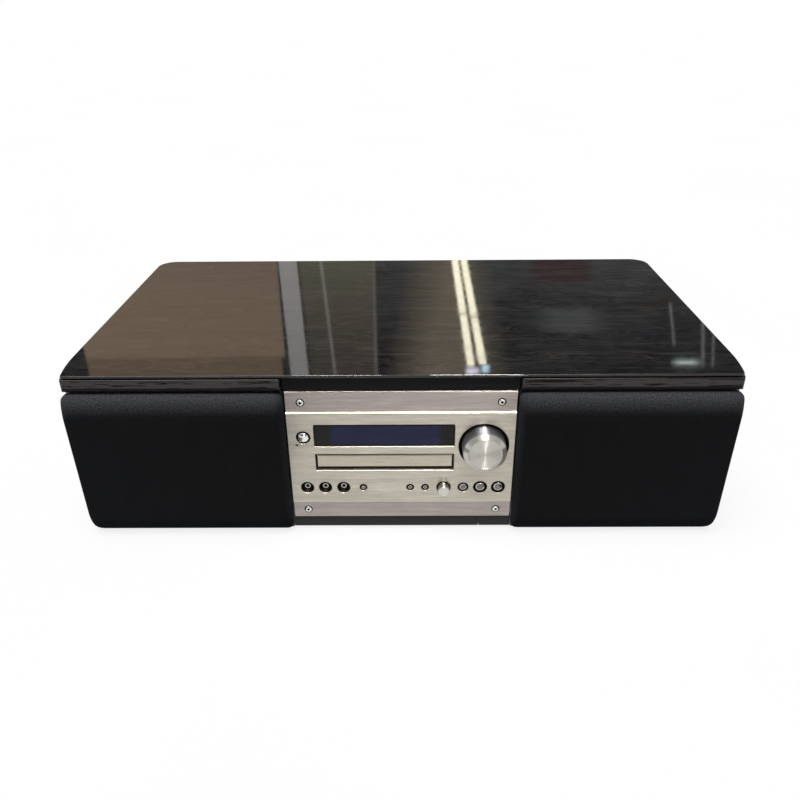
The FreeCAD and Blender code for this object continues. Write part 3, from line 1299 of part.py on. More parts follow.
def turntable():
    """Disc platter with its centring hub and spindle."""
    x = DRAWER_X
    disc_z = TRAY_Z + TRAY_T - POCKET_DEPTH + 0.8
    plate_part = rod_z(x, DISC_Y, disc_z - 1.4, disc_z, TURNTABLE_R)
    hub = Part.makeCone(HUB_R, HUB_R - 1.6, 2.8, V(x, DISC_Y, disc_z))
    spindle = rod_z(x, DISC_Y, traverse_z() - 7.0, disc_z - 1.0, 1.0)
    collar = rod_z(x, DISC_Y, disc_z - 4.0, disc_z - 1.2, 4.0)
    return join([plate_part, hub, spindle, collar])


def pickup_sled():
    """Optical head on its two rods, with the arm that engages the lead screw."""
    x = DRAWER_X
    z = traverse_z()
    y0 = DISC_Y + 14.0
    y1 = y0 + 20.0
    body = box(x - 26.0, x + 26.0, y0, y1, z + 2.0, z + 8.4)
    arm = box(x + 25.0, x + LEAD_SCREW_X + 3.0, y0 + 5.0, y1 - 5.0, z + 2.0, z + 8.0)
    housing = box(x - 9.0, x + 9.0, y0 + 2.0, y1 - 2.0, z + 8.0, z + 9.6)
    lens = rod_z(x, y0 + 10.0, z + 9.0, z + 10.4, 3.0)
    sled = join([body, arm, housing, lens])
    bores = [
        rod_y(x - ROD_X, z + 5.0, y0, y1, ROD_R + RUNNING_GAP),
        rod_y(x + ROD_X, z + 5.0, y0, y1, ROD_R + RUNNING_GAP),
        rod_y(x + LEAD_SCREW_X, z + 5.0, y0, y1, ROD_R + RUNNING_GAP),
    ]
    return less(sled, bores)


def lead_screw():
    x = DRAWER_X + LEAD_SCREW_X
    z = traverse_z() + 5.0
    screw = rod_y(x, z, DISC_Y + 7.0, DISC_Y + 75.0, ROD_R)
    gear_end = rod_y(x, z, DISC_Y + 75.0, DISC_Y + 77.5, 3.6)
    return join([screw, gear_end])


def clamp_bridge():
    """Pressed strip across the deck's walls with a hole for the clamp."""
    x = DRAWER_X
    z = TRAY_Z + DECK_TOP
    strip = box(x - DECK_OUT, x + DECK_OUT, DISC_Y - 16.0, DISC_Y + 16.0, z, z + SHEET_T)
    ribs = [
        box(x - 50.0, x + 50.0, y, y + 1.0, z + SHEET_T, z + 4.0)
        for y in (DISC_Y - 16.0, DISC_Y + 15.0)
    ]
    return join([strip] + ribs).cut(rod_z(x, DISC_Y, z, z + SHEET_T, 10.5))


def clamp_puck():
    """Magnetic clamp that hangs in the bridge and presses a disc to the turntable."""
    x = DRAWER_X
    hub_top = TRAY_Z + TRAY_T - POCKET_DEPTH + 0.8 + 2.8
    low = hub_top + 0.3
    bridge = TRAY_Z + DECK_TOP
    plate_part = rod_z(x, DISC_Y, low, low + 2.6, 13.0)
    neck = rod_z(x, DISC_Y, low + 2.6, bridge + SHEET_T + 0.8, 9.5)
    flange = rod_z(x, DISC_Y, bridge + SHEET_T + 0.8, bridge + SHEET_T + 2.2, 13.0)
    return join([plate_part, neck, flange])


def both(name, shape):
    save("right_" + name, shape)
    save("left_" + name, mirrored(shape))


def pair(shape):
    return [shape, mirrored(shape)]


def main():
    os.makedirs("parts", exist_ok=True)
    save("top_board", top_board())
    save("felt_spacers", felt_spacers())
    save("rubber_feet", rubber_feet())
    both("cabinet", cabinet())
    both("speaker_baffle", speaker_baffle())
    both("woofer_frame", woofer_frame())
    both("woofer_cone", woofer_cone())
    both("grille_cloth", grille_cloth())
    both("grille_frame", grille_frame())
    save("front_rails", group(pair(front_rail())))
    save("woofer_surrounds", group(pair(woofer_surround())))
    save("tweeters", group([side for piece in tweeter() for side in pair(piece)]))
    save("crossover_boards", group(pair(crossover_board())))
    single = (
        face_main_plate, face_base_plate, face_screws, front_subpanel, display_window, display_tube,
        control_board, standby_led, input_jacks, volume_knob, selector_knob, header_strip, plinth_strip,
        chassis_pan, case_cover, rear_panel, ac_inlet, rca_jacks, antenna_terminal, main_board,
        power_transformer, heat_sink, disc_tray, tray_front, deck_frame, loading_gear, motor_pinion,
        loading_motor, traverse_frame, turntable, pickup_sled, lead_screw, clamp_bridge, clamp_puck,
    )
    for make in single:
        save(make.__name__, make())
    for name, x, h, cap_r, _, proud in BUTTONS:
        save(name, button(x, h, cap_r, proud))


main()
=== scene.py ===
"""Looks for a one-piece disc receiver: an aluminium panel with a tray, between two speakers, under one board.

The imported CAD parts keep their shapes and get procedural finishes. Cloth, felt, sleeves, wells and small
marks are modelled here on top of them. Lengths are in metres; the fields that end in _mm are millimetres.
"""

import json
import logging
import math
from dataclasses import dataclass, field
from enum import Enum
from itertools import product

import bmesh
import bpy
from mathutils import Matrix, Vector

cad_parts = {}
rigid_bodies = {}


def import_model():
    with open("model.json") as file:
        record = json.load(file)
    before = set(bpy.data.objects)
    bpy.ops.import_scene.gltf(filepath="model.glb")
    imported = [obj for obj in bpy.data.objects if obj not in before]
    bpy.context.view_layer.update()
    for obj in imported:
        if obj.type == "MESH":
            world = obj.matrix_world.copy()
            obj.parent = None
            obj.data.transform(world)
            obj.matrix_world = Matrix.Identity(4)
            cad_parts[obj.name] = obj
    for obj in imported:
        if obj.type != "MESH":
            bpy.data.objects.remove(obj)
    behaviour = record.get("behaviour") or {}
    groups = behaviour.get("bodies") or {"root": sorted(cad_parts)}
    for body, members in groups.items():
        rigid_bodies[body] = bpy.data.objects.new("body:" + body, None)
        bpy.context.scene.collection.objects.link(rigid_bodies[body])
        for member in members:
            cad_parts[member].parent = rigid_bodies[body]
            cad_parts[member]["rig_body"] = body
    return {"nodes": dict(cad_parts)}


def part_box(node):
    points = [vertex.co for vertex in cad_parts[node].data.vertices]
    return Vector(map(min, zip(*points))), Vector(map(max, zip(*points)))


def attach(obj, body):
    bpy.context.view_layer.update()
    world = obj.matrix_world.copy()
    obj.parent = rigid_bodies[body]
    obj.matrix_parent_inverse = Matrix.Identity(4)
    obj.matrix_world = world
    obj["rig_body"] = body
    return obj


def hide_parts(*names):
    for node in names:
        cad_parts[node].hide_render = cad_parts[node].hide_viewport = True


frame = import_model()

LOG = logging.getLogger("receiver")
MM = 0.001
PLAY = 0.00003              # a lining to the wall of its opening
MIX_COLOURS = (6, 7)        # the Mix node's colour inputs
MIX_RESULT = 2              # its colour output
BLACK = (0.0, 0.0, 0.0)
CAP_SHARE = 0.42            # a cone's cap, as a share of the cone
Colour = tuple[float, float, float]
Pair = tuple[float, float]
Socket = bpy.types.NodeSocket
Material = bpy.types.Material
Object = bpy.types.Object


# Node trees


class Axis(Enum):
    """An axis of the object's own coordinates."""

    X = 0
    Y = 1
    Z = 2


def tint(colour: Colour, by: float) -> Colour:
    """A colour made darker or paler by a factor."""
    return tuple(c * by for c in colour)


class Recipe:
    """A material's node tree, with one short call for each kind of node that the finishes share."""

    def __init__(self, name: str) -> None:
        """Starts a material with its Principled shader.

        Args:
            name: The material's name.
        """
        self.material = bpy.data.materials.new(name)
        self.material.use_nodes = True
        self.tree = self.material.node_tree
        self.shader = self.tree.nodes["Principled BSDF"]

    def feed(self, socket: Socket, value: object) -> None:
        """Links a socket to another, or sets its value.

        Args:
            socket: The input to fill.
            value: Another node's output, a number, a colour or a vector.
        """
        if isinstance(value, Socket):
            self.tree.links.new(value, socket)
        elif isinstance(value, tuple) and socket.type == "RGBA":
            socket.default_value = (*value, 1.0)
        else:
            socket.default_value = value

    def fill(self, node: bpy.types.Node, values: dict[str, object]) -> None:
        """Fills a node's inputs by name, with an underscore for each space."""
        for name, value in values.items():
            self.feed(node.inputs[name.replace("_", " ")], value)

    def node(self, kind: str, **values: object) -> bpy.types.Node:
        """Adds a shader node and fills the inputs that are named.

        Args:
            kind: Blender's name for its type, after ShaderNode.
            **values: Inputs by name, with an underscore for each space.

        Returns:
            The new node.
        """
        made = self.tree.nodes.new("ShaderNode" + kind)
        self.fill(made, values)
        return made

    def place(self, size: float | Colour = 1.0, origin: Colour = (0.0, 0.0, 0.0), layer: str = "") -> Socket:
        """Coordinates for a pattern.

        Args:
            size: Metres that make one unit of the pattern, along every axis or along each.
            origin: The pattern's centre.
            layer: A UV map's name, or nothing for Object coordinates.

        Returns:
            The vector output.
        """
        if layer:
            source = self.node("UVMap")
            source.uv_map = layer
            start = source.outputs["UV"]
        else:
            start = self.node("TexCoord").outputs["Object"]
        scale = size if isinstance(size, tuple) else (size, size, size)
        mapping = self.node("Mapping", Vector=start, Location=origin, Scale=scale)
        mapping.vector_type = "TEXTURE"
        return mapping.outputs["Vector"]

    def spot(self, where: Socket | float | Colour) -> Socket:
        """A vector as it is, or a pattern's size turned into coordinates."""
        return where if isinstance(where, Socket) else self.place(where)

    def noise(self, where: Socket | float | Colour, detail: float = 2.0, rough: float = 0.5,
              bend: float = 0.0) -> Socket:
        """Cloudy variation, from 0 to 1, with a middle near 0.5.

        Args:
            where: Where it is read, or the size of its features.
            detail: Octaves of finer noise.
            rough: How strong the finer octaves are.
            bend: How far the pattern is bent by itself.

        Returns:
            The factor output.
        """
        made = self.node("TexNoise", Vector=self.spot(where), Scale=1.0, Detail=detail, Roughness=rough,
                         Distortion=bend)
        return made.outputs["Fac"]

    def waves(self, where: Socket | float, axis: Axis, scale: float, bend: float = 0.0) -> Socket:
        """Parallel bands.

        Args:
            where: Where they are read, or the size of one unit.
            axis: The axis that they repeat along.
            scale: Bands for about six units.
            bend: How far noise bends them.

        Returns:
            The factor output.
        """
        made = self.node("TexWave", Vector=self.spot(where), Scale=scale, Distortion=bend, Detail=1.0)
        made.bands_direction = axis.name
        return made.outputs["Fac"]

    def cells(self, where: Socket | float) -> bpy.types.Node:
        """Scattered cells, each with its own distance and random colour."""
        return self.node("TexVoronoi", Vector=self.spot(where), Scale=1.0)

    def part(self, vector: Socket, axis: Axis) -> Socket:
        """One axis of a vector."""
        return self.node("SeparateXYZ", Vector=vector).outputs[axis.name]

    def operate(self, node: str, kind: str, *values: object) -> bpy.types.Node:
        """Adds a node that does an operation.

        Args:
            node: The node's type.
            kind: Blender's name for the operation.
            *values: What it works on.

        Returns:
            The node.
        """
        made = self.node(node)
        made.operation = kind
        for socket, value in zip(made.inputs, values):
            self.feed(socket, value)
        return made

    def calc(self, kind: str, a: object, b: object = 0.0) -> Socket:
        """An operation on two numbers."""
        return self.operate("Math", kind, a, b).outputs[0]

    def times(self, a: object, b: object) -> Socket:
        """One number times another."""
        return self.calc("MULTIPLY", a, b)

    def vector(self, kind: str, a: object, b: object = (0.0, 0.0, 0.0), out: str = "Vector") -> Socket:
        """An operation on two vectors, with the output that is wanted."""
        return self.operate("VectorMath", kind, a, b).outputs[out]

    def about(self, centre: Vector) -> tuple[Socket, Socket]:
        """The way out from an axis along Y through a centre, and how far out a point is."""
        flat = self.vector("MULTIPLY", self.place(origin=(centre.x, 0.0, centre.z)), (1.0, 0.0, 1.0))
        return flat, self.vector("LENGTH", flat, out="Value")

    def remap(self, value: Socket, low: float, high: float, to_low: float = 0.0, to_high: float = 1.0) -> Socket:
        """Stretches a range of a value to another range, and holds it there.

        Args:
            value: The value.
            low: The range's start.
            high: The range's end.
            to_low: What the start becomes.
            to_high: What the end becomes.

        Returns:
            The result's output.
        """
        made = self.node("MapRange", Value=value, From_Min=low, From_Max=high, To_Min=to_low, To_Max=to_high)
        return made.outputs["Result"]

    def spread(self, noise: Socket, to_low: float = 0.0, to_high: float = 1.0) -> Socket:
        """Stretches the range that most of a noise lies in to another."""
        return self.remap(noise, 0.3, 0.7, to_low, to_high)

    def edge(self, value: Socket, at: float, soft: float = 0.0001, falls: bool = False) -> Socket:
        """0 below a level and 1 above it, or the reverse if it falls; soft is half the edge's width."""
        return self.remap(value, at - soft, at + soft, float(falls), float(not falls))

    def band(self, value: Socket, low: float, high: float, soft: float) -> Socket:
        """1 between two values and 0 outside, with soft edges."""
        return self.times(self.edge(value, low, soft), self.edge(value, high, soft, True))

    def mix(self, share: object, a: object, b: object) -> Socket:
        """A colour between two.

        Args:
            share: 0 for the first colour, 1 for the second.
            a: The first colour.
            b: The second colour.

        Returns:
            The colour output.
        """
        made = self.node("Mix", Factor=share)
        made.data_type = "RGBA"
        for number, value in zip(MIX_COLOURS, (a, b)):
            self.feed(made.inputs[number], value)
        return made.outputs[MIX_RESULT]

    def bump(self, height: Socket, distance: float, strength: float = 1.0) -> None:
        """Gives the shader a bump.

        Args:
            height: The bump's height, from 0 to 1.
            distance: What a height of 1 is, in metres.
            strength: How much of it shows.
        """
        made = self.node("Bump", Height=height, Distance=distance, Strength=strength)
        self.feed(self.shader.inputs["Normal"], made.outputs["Normal"])

    def finish(self, **values: object) -> Material:
        """Fills the shader's own sockets and gives the material."""
        self.fill(self.shader, values)
        return self.material


# Finishes


class Finish:
    """A finish that builds a material of its own."""

    name: str

    def make(self) -> Material:
        """Builds the material."""
        raise NotImplementedError(self.name)


@dataclass(frozen=True)
class Lacquer(Finish):
    """Clear gloss lacquer over dark veneer whose grain runs from side to side."""

    name: str = "gloss_lacquer"
    dark: Colour = (0.0030, 0.0022, 0.0024)
    pale: Colour = (0.056, 0.044, 0.034)
    ripple: float = 0.3
    sway: float = 0.055
    pore: Colour = (0.002, 0.001, 0.001)
    figures: tuple[Colour, ...] = ((0.16, 0.016, 0.016), (0.07, 0.0028, 0.0028), (0.025, 0.0009, 0.0009))

    def make(self) -> Material:
        """Builds the material."""
        r = Recipe(self.name)
        bend = r.times(r.calc("SUBTRACT", r.noise((0.10, 0.06, 0.06)), 0.5), self.sway)
        drift = r.node("CombineXYZ", Y=bend, Z=bend).outputs["Vector"]
        here = r.vector("ADD", r.place(), drift)
        broad, fine, pores = (r.noise(r.vector("DIVIDE", here, size), 4.0, 0.65, 0.5) for size in self.figures)
        grain = r.times(r.remap(broad, 0.35, 0.70, 0.25, 1.0), r.remap(fine, 0.36, 0.66))
        colour = r.mix(grain, self.dark, self.pale)
        colour = r.mix(r.times(r.remap(pores, 0.56, 0.68), 0.6), colour, self.pore)
        r.bump(r.noise((0.055, 0.035, 0.006)), 0.0006, self.ripple)
        dust = r.remap(r.noise(0.012, 4.0), 0.35, 0.75, 0.025, 0.06)
        return r.finish(Base_Color=colour, Roughness=dust, IOR=1.5)


@dataclass(frozen=True)
class BrushedMetal(Finish):
    """Sheet aluminium with straight brushing along X: fine threads, broader streaks and handling marks."""

    name: str
    colour: Colour
    roughness: float
    streak: float
    grain_mm: float = 0.25

    def make(self) -> Material:
        """Builds the material."""
        r = Recipe(self.name)
        fine = self.grain_mm * MM
        threads = r.noise((0.012, fine, fine), 3.0, 0.7)
        lines = r.noise((0.028, 0.0011, 0.0011), 4.0, 0.75)
        streaks = r.noise((0.060, 0.0040, 0.0040), 3.0, 0.65)
        cloud = r.noise((0.028, 0.02, 0.010), 4.0, 0.6, 0.5)
        brush = r.calc("ADD", r.times(lines, 0.55), r.times(streaks, 0.45))
        low, high = (tint(self.colour, 1 + way * self.streak) for way in (-1, 1))
        colour = r.mix(r.remap(brush, 0.36, 0.64), low, high)
        colour = r.mix(r.spread(threads, 0.0, 0.25), colour, low)
        colour = r.mix(r.remap(cloud, 0.35, 0.70, 0.0, 0.45), colour, low)
        r.bump(r.calc("ADD", brush, threads), 0.00002, 0.5)
        return r.finish(Base_Color=colour, Metallic=1.0, Anisotropic=0.7,
                        Roughness=r.spread(brush, self.roughness * 0.8, self.roughness * 1.25),
                        Tangent=r.node("CombineXYZ", Z=1.0).outputs["Vector"])


@dataclass(frozen=True)
class TurnedMetal(Finish):
    """Metal turned on a lathe about an axis along Y, with its middle, its rim and its skirt in their tones."""

    name: str
    centre: Vector
    middle: Colour
    rim: Colour
    rim_from: float
    rim_to: float
    roughness: float
    rings: float
    anisotropy: float
    skirt_from: float = 1.0
    skirt: Colour = (0.010, 0.009, 0.009)
    ring_mm: float = 0.35

    def make(self) -> Material:
        """Builds the material."""
        r = Recipe(self.name)
        ring = self.ring_mm * MM
        flat, radius = r.about(self.centre)
        lines = r.noise(r.node("CombineXYZ", X=r.times(radius, 1.0 / ring)).outputs["Vector"], 2.0, 0.7)
        along = r.noise((0.004, ring * 0.6, 0.004), 2.0, 0.6)
        colour = r.mix(r.remap(radius, self.rim_from, self.rim_to), self.middle, self.rim)
        colour = r.mix(r.remap(radius, self.skirt_from, self.skirt_from + 0.0002), colour, self.skirt)
        low = r.mix(0.16, colour, BLACK)
        grooves = r.calc("ADD", r.times(lines, 0.6), r.times(along, 0.4))
        r.bump(grooves, 0.00002, self.rings)
        across = r.vector("ADD", r.vector("NORMALIZE", flat), (0.0, 0.3, 0.0))
        return r.finish(Base_Color=r.mix(r.spread(grooves), low, colour), Metallic=1.0, Tangent=across,
                        Roughness=r.spread(grooves, self.roughness * 0.85, self.roughness * 1.15),
                        Anisotropic=self.anisotropy)


@dataclass(frozen=True)
class Plating(Finish):
    """Bare or plated metal with faint clouding and rub marks."""

    name: str
    colour: Colour
    roughness: float
    cloud: float = 0.25
    cloud_mm: float = 14.0

    def make(self) -> Material:
        """Builds the material."""
        r = Recipe(self.name)
        size = self.cloud_mm * MM
        cloud = r.noise(size, 4.0, 0.6, 0.4)
        rubs = r.noise((size * 0.8, size * 0.05, size * 0.05))
        r.bump(cloud, 0.00008, 0.3)
        return r.finish(Base_Color=r.mix(r.spread(cloud), tint(self.colour, 1 - self.cloud), self.colour),
                        Roughness=r.remap(rubs, 0.3, 0.8, self.roughness * 0.8, self.roughness * 1.5), Metallic=1.0)


@dataclass(frozen=True)
class MetalRings(Finish):
    """Bright rings about several axes along Y on a dark ground that also fills their bores: black plastic round the
    sockets, and painted shade in the screws' hex sockets and round their heads' rims.
    """

    name: str
    spots: tuple[Pair, ...]
    inner: float
    outer: float
    colour: Colour
    # The dark ground; on the screws it is painted shade, in the hex sockets and at the heads' rims.
    dark: Colour = (0.004, 0.004, 0.004)
    behind: float = 1.0
    roughness: float = 0.22

    def make(self) -> Material:
        """Builds the material."""
        r = Recipe(self.name)
        here = r.place()
        x, y, z = (r.part(here, axis) for axis in Axis)
        away = None
        for at_x, at_z in self.spots:
            dx, dz = r.calc("SUBTRACT", x, at_x), r.calc("SUBTRACT", z, at_z)
            reach = r.calc("SQRT", r.calc("ADD", r.times(dx, dx), r.times(dz, dz)))
            away = reach if away is None else r.calc("MINIMUM", away, reach)
        ring = r.times(r.band(away, self.inner, self.outer, 0.0001), r.edge(y, self.behind, falls=True))
        wear = r.noise(0.0012, 3.0)
        metal = r.mix(r.spread(wear), tint(self.colour, 0.8), self.colour)
        r.bump(wear, 0.00003, 0.3)
        return r.finish(Base_Color=r.mix(ring, self.dark, metal), Metallic=ring, Specular_IOR_Level=0.1,
                        Roughness=r.spread(wear, self.roughness * 0.85, self.roughness * 1.2))


@dataclass(frozen=True)
class Moulding(Finish):
    """Moulded plastic, smooth or finely textured."""

    name: str
    colour: Colour
    roughness: float
    texture_mm: float = 0.5
    depth: float = 0.25
    gloss: float = 0.3

    def make(self) -> Material:
        """Builds the material."""
        r = Recipe(self.name)
        grit = r.noise(self.texture_mm * MM, 2.0, 0.6)
        drift = r.noise((0.05, 0.05, 0.02), 3.0)
        share = r.times(r.spread(grit), r.remap(drift, 0.2, 0.7))
        r.bump(grit, 0.00006, self.depth)
        return r.finish(Base_Color=r.mix(share, tint(self.colour, 0.86), self.colour),
                        Roughness=r.spread(drift, self.roughness * 0.8, self.roughness * 1.2),
                        Specular_IOR_Level=self.gloss)


@dataclass(frozen=True)
class PaintedSteel(Finish):
    """Sheet steel under black paint or zinc, with orange peel and a cloudy tone."""

    name: str
    colour: Colour
    roughness: float
    metallic: float = 0.0
    peel_mm: float = 0.9

    def make(self) -> Material:
        """Builds the material."""
        r = Recipe(self.name)
        cloud = r.noise(0.035, 3.0, 0.6, 0.5)
        r.bump(r.noise(self.peel_mm * MM, 3.0), 0.00008, 0.5)
        return r.finish(Base_Color=r.mix(r.spread(cloud), tint(self.colour, 0.78), self.colour),
                        Roughness=r.spread(cloud, self.roughness * 0.85, self.roughness * 1.15),
                        Metallic=self.metallic)


@dataclass(frozen=True)
class Vinyl(Finish):
    """Black ash vinyl on the cabinets: long pores, front to back, pressed into a satin film."""

    name: str
    colour: Colour = (0.014, 0.011, 0.010)

    def make(self) -> Material:
        """Builds the material."""
        r = Recipe(self.name)
        pores = r.remap(r.noise((0.0009, 0.022, 0.0009), 3.0, 0.6, 0.3), 0.42, 0.62)
        figure = r.noise((0.012, 0.16, 0.012), 3.0, 0.6, 0.8)
        share = r.times(pores, r.remap(figure, 0.3, 0.75))
        r.bump(pores, 0.00012, 0.6)
        return r.finish(Base_Color=r.mix(share, self.colour, tint(self.colour, 1.9)),
                        Roughness=r.spread(figure, 0.34, 0.46), IOR=1.45)


@dataclass(frozen=True)
class Fibreboard(Finish):
    """Painted fibreboard of the baffles, matt, with a faint nap."""

    name: str
    colour: Colour = (0.020, 0.019, 0.018)

    def make(self) -> Material:
        """Builds the material."""
        r = Recipe(self.name)
        nap = r.noise(0.0006, 3.0, 0.7)
        patch = r.noise(0.03, 3.0)
        r.bump(nap, 0.0001, 0.5)
        return r.finish(Base_Color=r.mix(r.times(nap, patch), self.colour, tint(self.colour, 1.5)),
                        Roughness=r.spread(patch, 0.62, 0.78))


@dataclass(frozen=True)
class Knit(Finish):
    """Acoustic knit: ribs of small loops, with a painted highlight that grows towards its upper edge, and a few
    specks of lint.
    """

    name: str
    colour: Colour = (0.0240, 0.0241, 0.0242)
    # The pale bluish colour below, with the two heights further down, paints a highlight on the knit's upper bevel
    # and edge, where light from above falls.
    lit_top: Colour = (0.21, 0.215, 0.235)
    lint: Colour = (0.22, 0.22, 0.22)
    hollow: Colour = (0.002, 0.002, 0.002)
    lit_from: float = 0.129
    lit_to: float = 0.156
    pitch_mm: float = 0.75
    layer: str = "cloth"

    def make(self) -> Material:
        """Builds the material."""
        r = Recipe(self.name)

        def on_cloth(across: float, down: float) -> Socket:
            """Coordinates on the flat cloth, with one unit's size across and down."""
            return r.place((across, down, 1.0), layer=self.layer)

        pitch = self.pitch_mm * MM
        rib = r.waves(on_cloth(pitch, pitch), Axis.X, math.pi / 10, 0.4)
        row = r.waves(on_cloth(pitch, pitch), Axis.Y, math.pi / 10 * 0.8, 0.6)
        loops = r.times(r.remap(rib, 0.1, 0.9), r.remap(row, 0.0, 1.0, 0.35, 1.0))
        fuzz = r.noise(on_cloth(0.0006, 0.0006), 4.0, 0.7)
        slub = r.noise(on_cloth(0.02, 0.05), 3.0, 0.6)
        deep, pale = tint(self.colour, 0.45), tint(self.colour, 1.7)
        body = r.mix(r.times(loops, r.remap(slub, 0.25, 0.75, 0.6, 1.0)), deep, pale)
        body = r.mix(r.remap(fuzz, 0.45, 0.8, 0.0, 0.35), body, pale)
        # Painted highlight: the knit grows pale and bluish in patches towards its top edge, as if lit from above.
        high = r.remap(r.part(r.place(), Axis.Z), self.lit_from, self.lit_to)
        lit_patches = r.spread(r.noise(on_cloth(0.0016, 0.0016), 4.0, 0.75), 0.45, 1.0)
        body = r.mix(r.times(r.calc("POWER", high, 2.0), lit_patches), body, self.lit_top)
        tufts = r.noise(on_cloth(0.0011, 0.0011), 3.0, 0.7)
        body = r.mix(r.remap(tufts, 0.42, 0.60, 0.0, 0.60), body, self.hollow)
        specks = r.cells(on_cloth(0.011, 0.011))
        near = r.remap(specks.outputs["Distance"], 0.022, 0.034, 1.0, 0.0)
        picked = r.remap(specks.outputs["Color"], 0.86, 0.88)
        body = r.mix(r.times(near, picked), body, self.lint)
        r.bump(r.calc("ADD", loops, r.times(fuzz, 0.5)), 0.00025, 0.6)
        return r.finish(Base_Color=body, Roughness=0.9, Specular_IOR_Level=0.02, Sheen_Weight=0.10,
                        Sheen_Roughness=0.5, Sheen_Tint=(0.62, 0.70, 0.90))


@dataclass(frozen=True)
class Felt(Finish):
    """Pressed wool felt."""

    name: str = "felt"
    colour: Colour = (0.020, 0.020, 0.022)

    def make(self) -> Material:
        """Builds the material."""
        r = Recipe(self.name)
        hairs = r.noise(0.0009, 4.0, 0.75, 1.2)
        colour = r.mix(r.remap(hairs, 0.35, 0.75), self.colour, tint(self.colour, 2.2))
        r.bump(hairs, 0.0002, 0.7)
        return r.finish(Base_Color=colour, Roughness=0.95, Specular_IOR_Level=0.1, Sheen_Weight=0.3)


@dataclass(frozen=True)
class Rubber(Finish):
    """Soft black rubber, matt, with a bloom of dust."""

    name: str = "rubber"
    colour: Colour = (0.012, 0.012, 0.012)
    roughness: float = 0.62
    dust: Colour = (0.03, 0.03, 0.03)

    def make(self) -> Material:
        """Builds the material."""
        r = Recipe(self.name)
        bloom = r.noise(0.006, 4.0, 0.65)
        r.bump(r.noise(0.0004), 0.00006, 0.4)
        return r.finish(Base_Color=r.mix(r.remap(bloom, 0.4, 0.8), self.colour, self.dust),
                        Roughness=r.spread(bloom, self.roughness, 0.8))


@dataclass(frozen=True)
class ConePaper(Finish):
    """Pulp cone of the woofers: pressed fibres, and a smoother cap about the driver's axis."""

    name: str
    centre: Vector
    cap_r: float
    colour: Colour = (0.028, 0.026, 0.024)
    cap: Colour = (0.016, 0.016, 0.017)

    def make(self) -> Material:
        """Builds the material."""
        r = Recipe(self.name)
        fibres = r.noise(0.0016, 4.0, 0.75, 1.0)
        body = r.mix(r.remap(fibres, 0.35, 0.7), self.colour, tint(self.colour, 1.8))
        cap = r.edge(r.about(self.centre)[1], self.cap_r, 0.0004, True)
        r.bump(fibres, 0.00015, 0.6)
        return r.finish(Base_Color=r.mix(cap, body, self.cap), Roughness=r.remap(cap, 0.0, 1.0, 0.85, 0.45))


@dataclass(frozen=True)
class CircuitBoard(Finish):
    """Green resist over copper tracks, with solder spots and dark parts that stand off the laminate."""

    name: str
    face: float
    depth: float
    axis: Axis = Axis.Y

    def make(self) -> Material:
        """Builds the material."""
        r = Recipe(self.name)
        off = r.part(r.place(), self.axis)
        inside = r.band(off, self.face - 0.0001, self.face + self.depth + 0.0001, 0.00005)
        lines = r.remap(r.cells(0.006).outputs["Distance"], 0.30, 0.36)
        green = r.mix(lines, (0.010, 0.060, 0.028), (0.020, 0.120, 0.050))
        solder = r.edge(r.cells(0.0035).outputs["Distance"], 0.18, 0.02, True)
        green = r.mix(r.times(solder, 0.7), green, (0.45, 0.45, 0.42))
        grit = r.noise(0.002, 3.0)
        parts = r.mix(r.spread(grit), (0.012, 0.012, 0.014), (0.035, 0.033, 0.030))
        r.bump(solder, 0.0002, 0.4)
        return r.finish(Base_Color=r.mix(inside, parts, green), Roughness=r.spread(grit, 0.30, 0.5))


@dataclass(frozen=True)
class SmokedWindow(Finish):
    """Gloss smoked window; the display's blue filter shows through its middle."""

    name: str
    left: float
    right: float
    corners: tuple[Vector, Vector]
    border: float = 0.0010

    def make(self) -> Material:
        """Builds the material."""
        r = Recipe(self.name)
        here = r.place()
        x, z = r.part(here, Axis.X), r.part(here, Axis.Z)
        low, high = self.corners
        inside = r.times(r.band(x, low.x + self.border, high.x - self.border, 0.0003),
                         r.band(z, low.z + self.border, high.z - self.border, 0.0003))
        mist = r.noise((0.03, 0.02, 0.006), 3.0, 0.55, 0.6)
        smoke = r.mix(r.spread(mist), (0.0265, 0.0265, 0.0262), (0.0375, 0.0372, 0.037))
        blue = r.mix(r.spread(mist), (0.034, 0.041, 0.108), (0.050, 0.052, 0.130))
        face = r.mix(r.band(x, self.left, self.right, 0.0022), smoke, blue)
        r.bump(mist, 0.00003, 0.2)
        return r.finish(Base_Color=r.mix(inside, (0.002, 0.002, 0.002), face), Specular_IOR_Level=0.12,
                        Roughness=r.spread(mist, 0.06, 0.12))


@dataclass(frozen=True)
class TubeGlass(Finish):
    """The display tube's own glass: dark, with a fine mesh grid behind it."""

    name: str = "tube_glass"

    def make(self) -> Material:
        """Builds the material."""
        r = Recipe(self.name)
        lines = r.waves(0.004, Axis.Z, 0.35)
        share = r.times(r.waves(0.0007, Axis.X, 0.35), lines)
        return r.finish(Base_Color=r.mix(share, (0.010, 0.014, 0.020), (0.045, 0.050, 0.065)),
                        Roughness=r.remap(lines, 0.0, 1.0, 0.08, 0.16), IOR=1.5)


@dataclass(frozen=True)
class LampLens(Finish):
    """Diffused epoxy of the standby lamp, unlit."""

    name: str = "lamp_lens"

    def make(self) -> Material:
        """Builds the material."""
        r = Recipe(self.name)
        haze = r.noise(0.0006)
        return r.finish(Base_Color=r.mix(haze, (0.020, 0.006, 0.006), (0.045, 0.012, 0.010)),
                        Roughness=r.spread(haze, 0.2, 0.32), IOR=1.5)


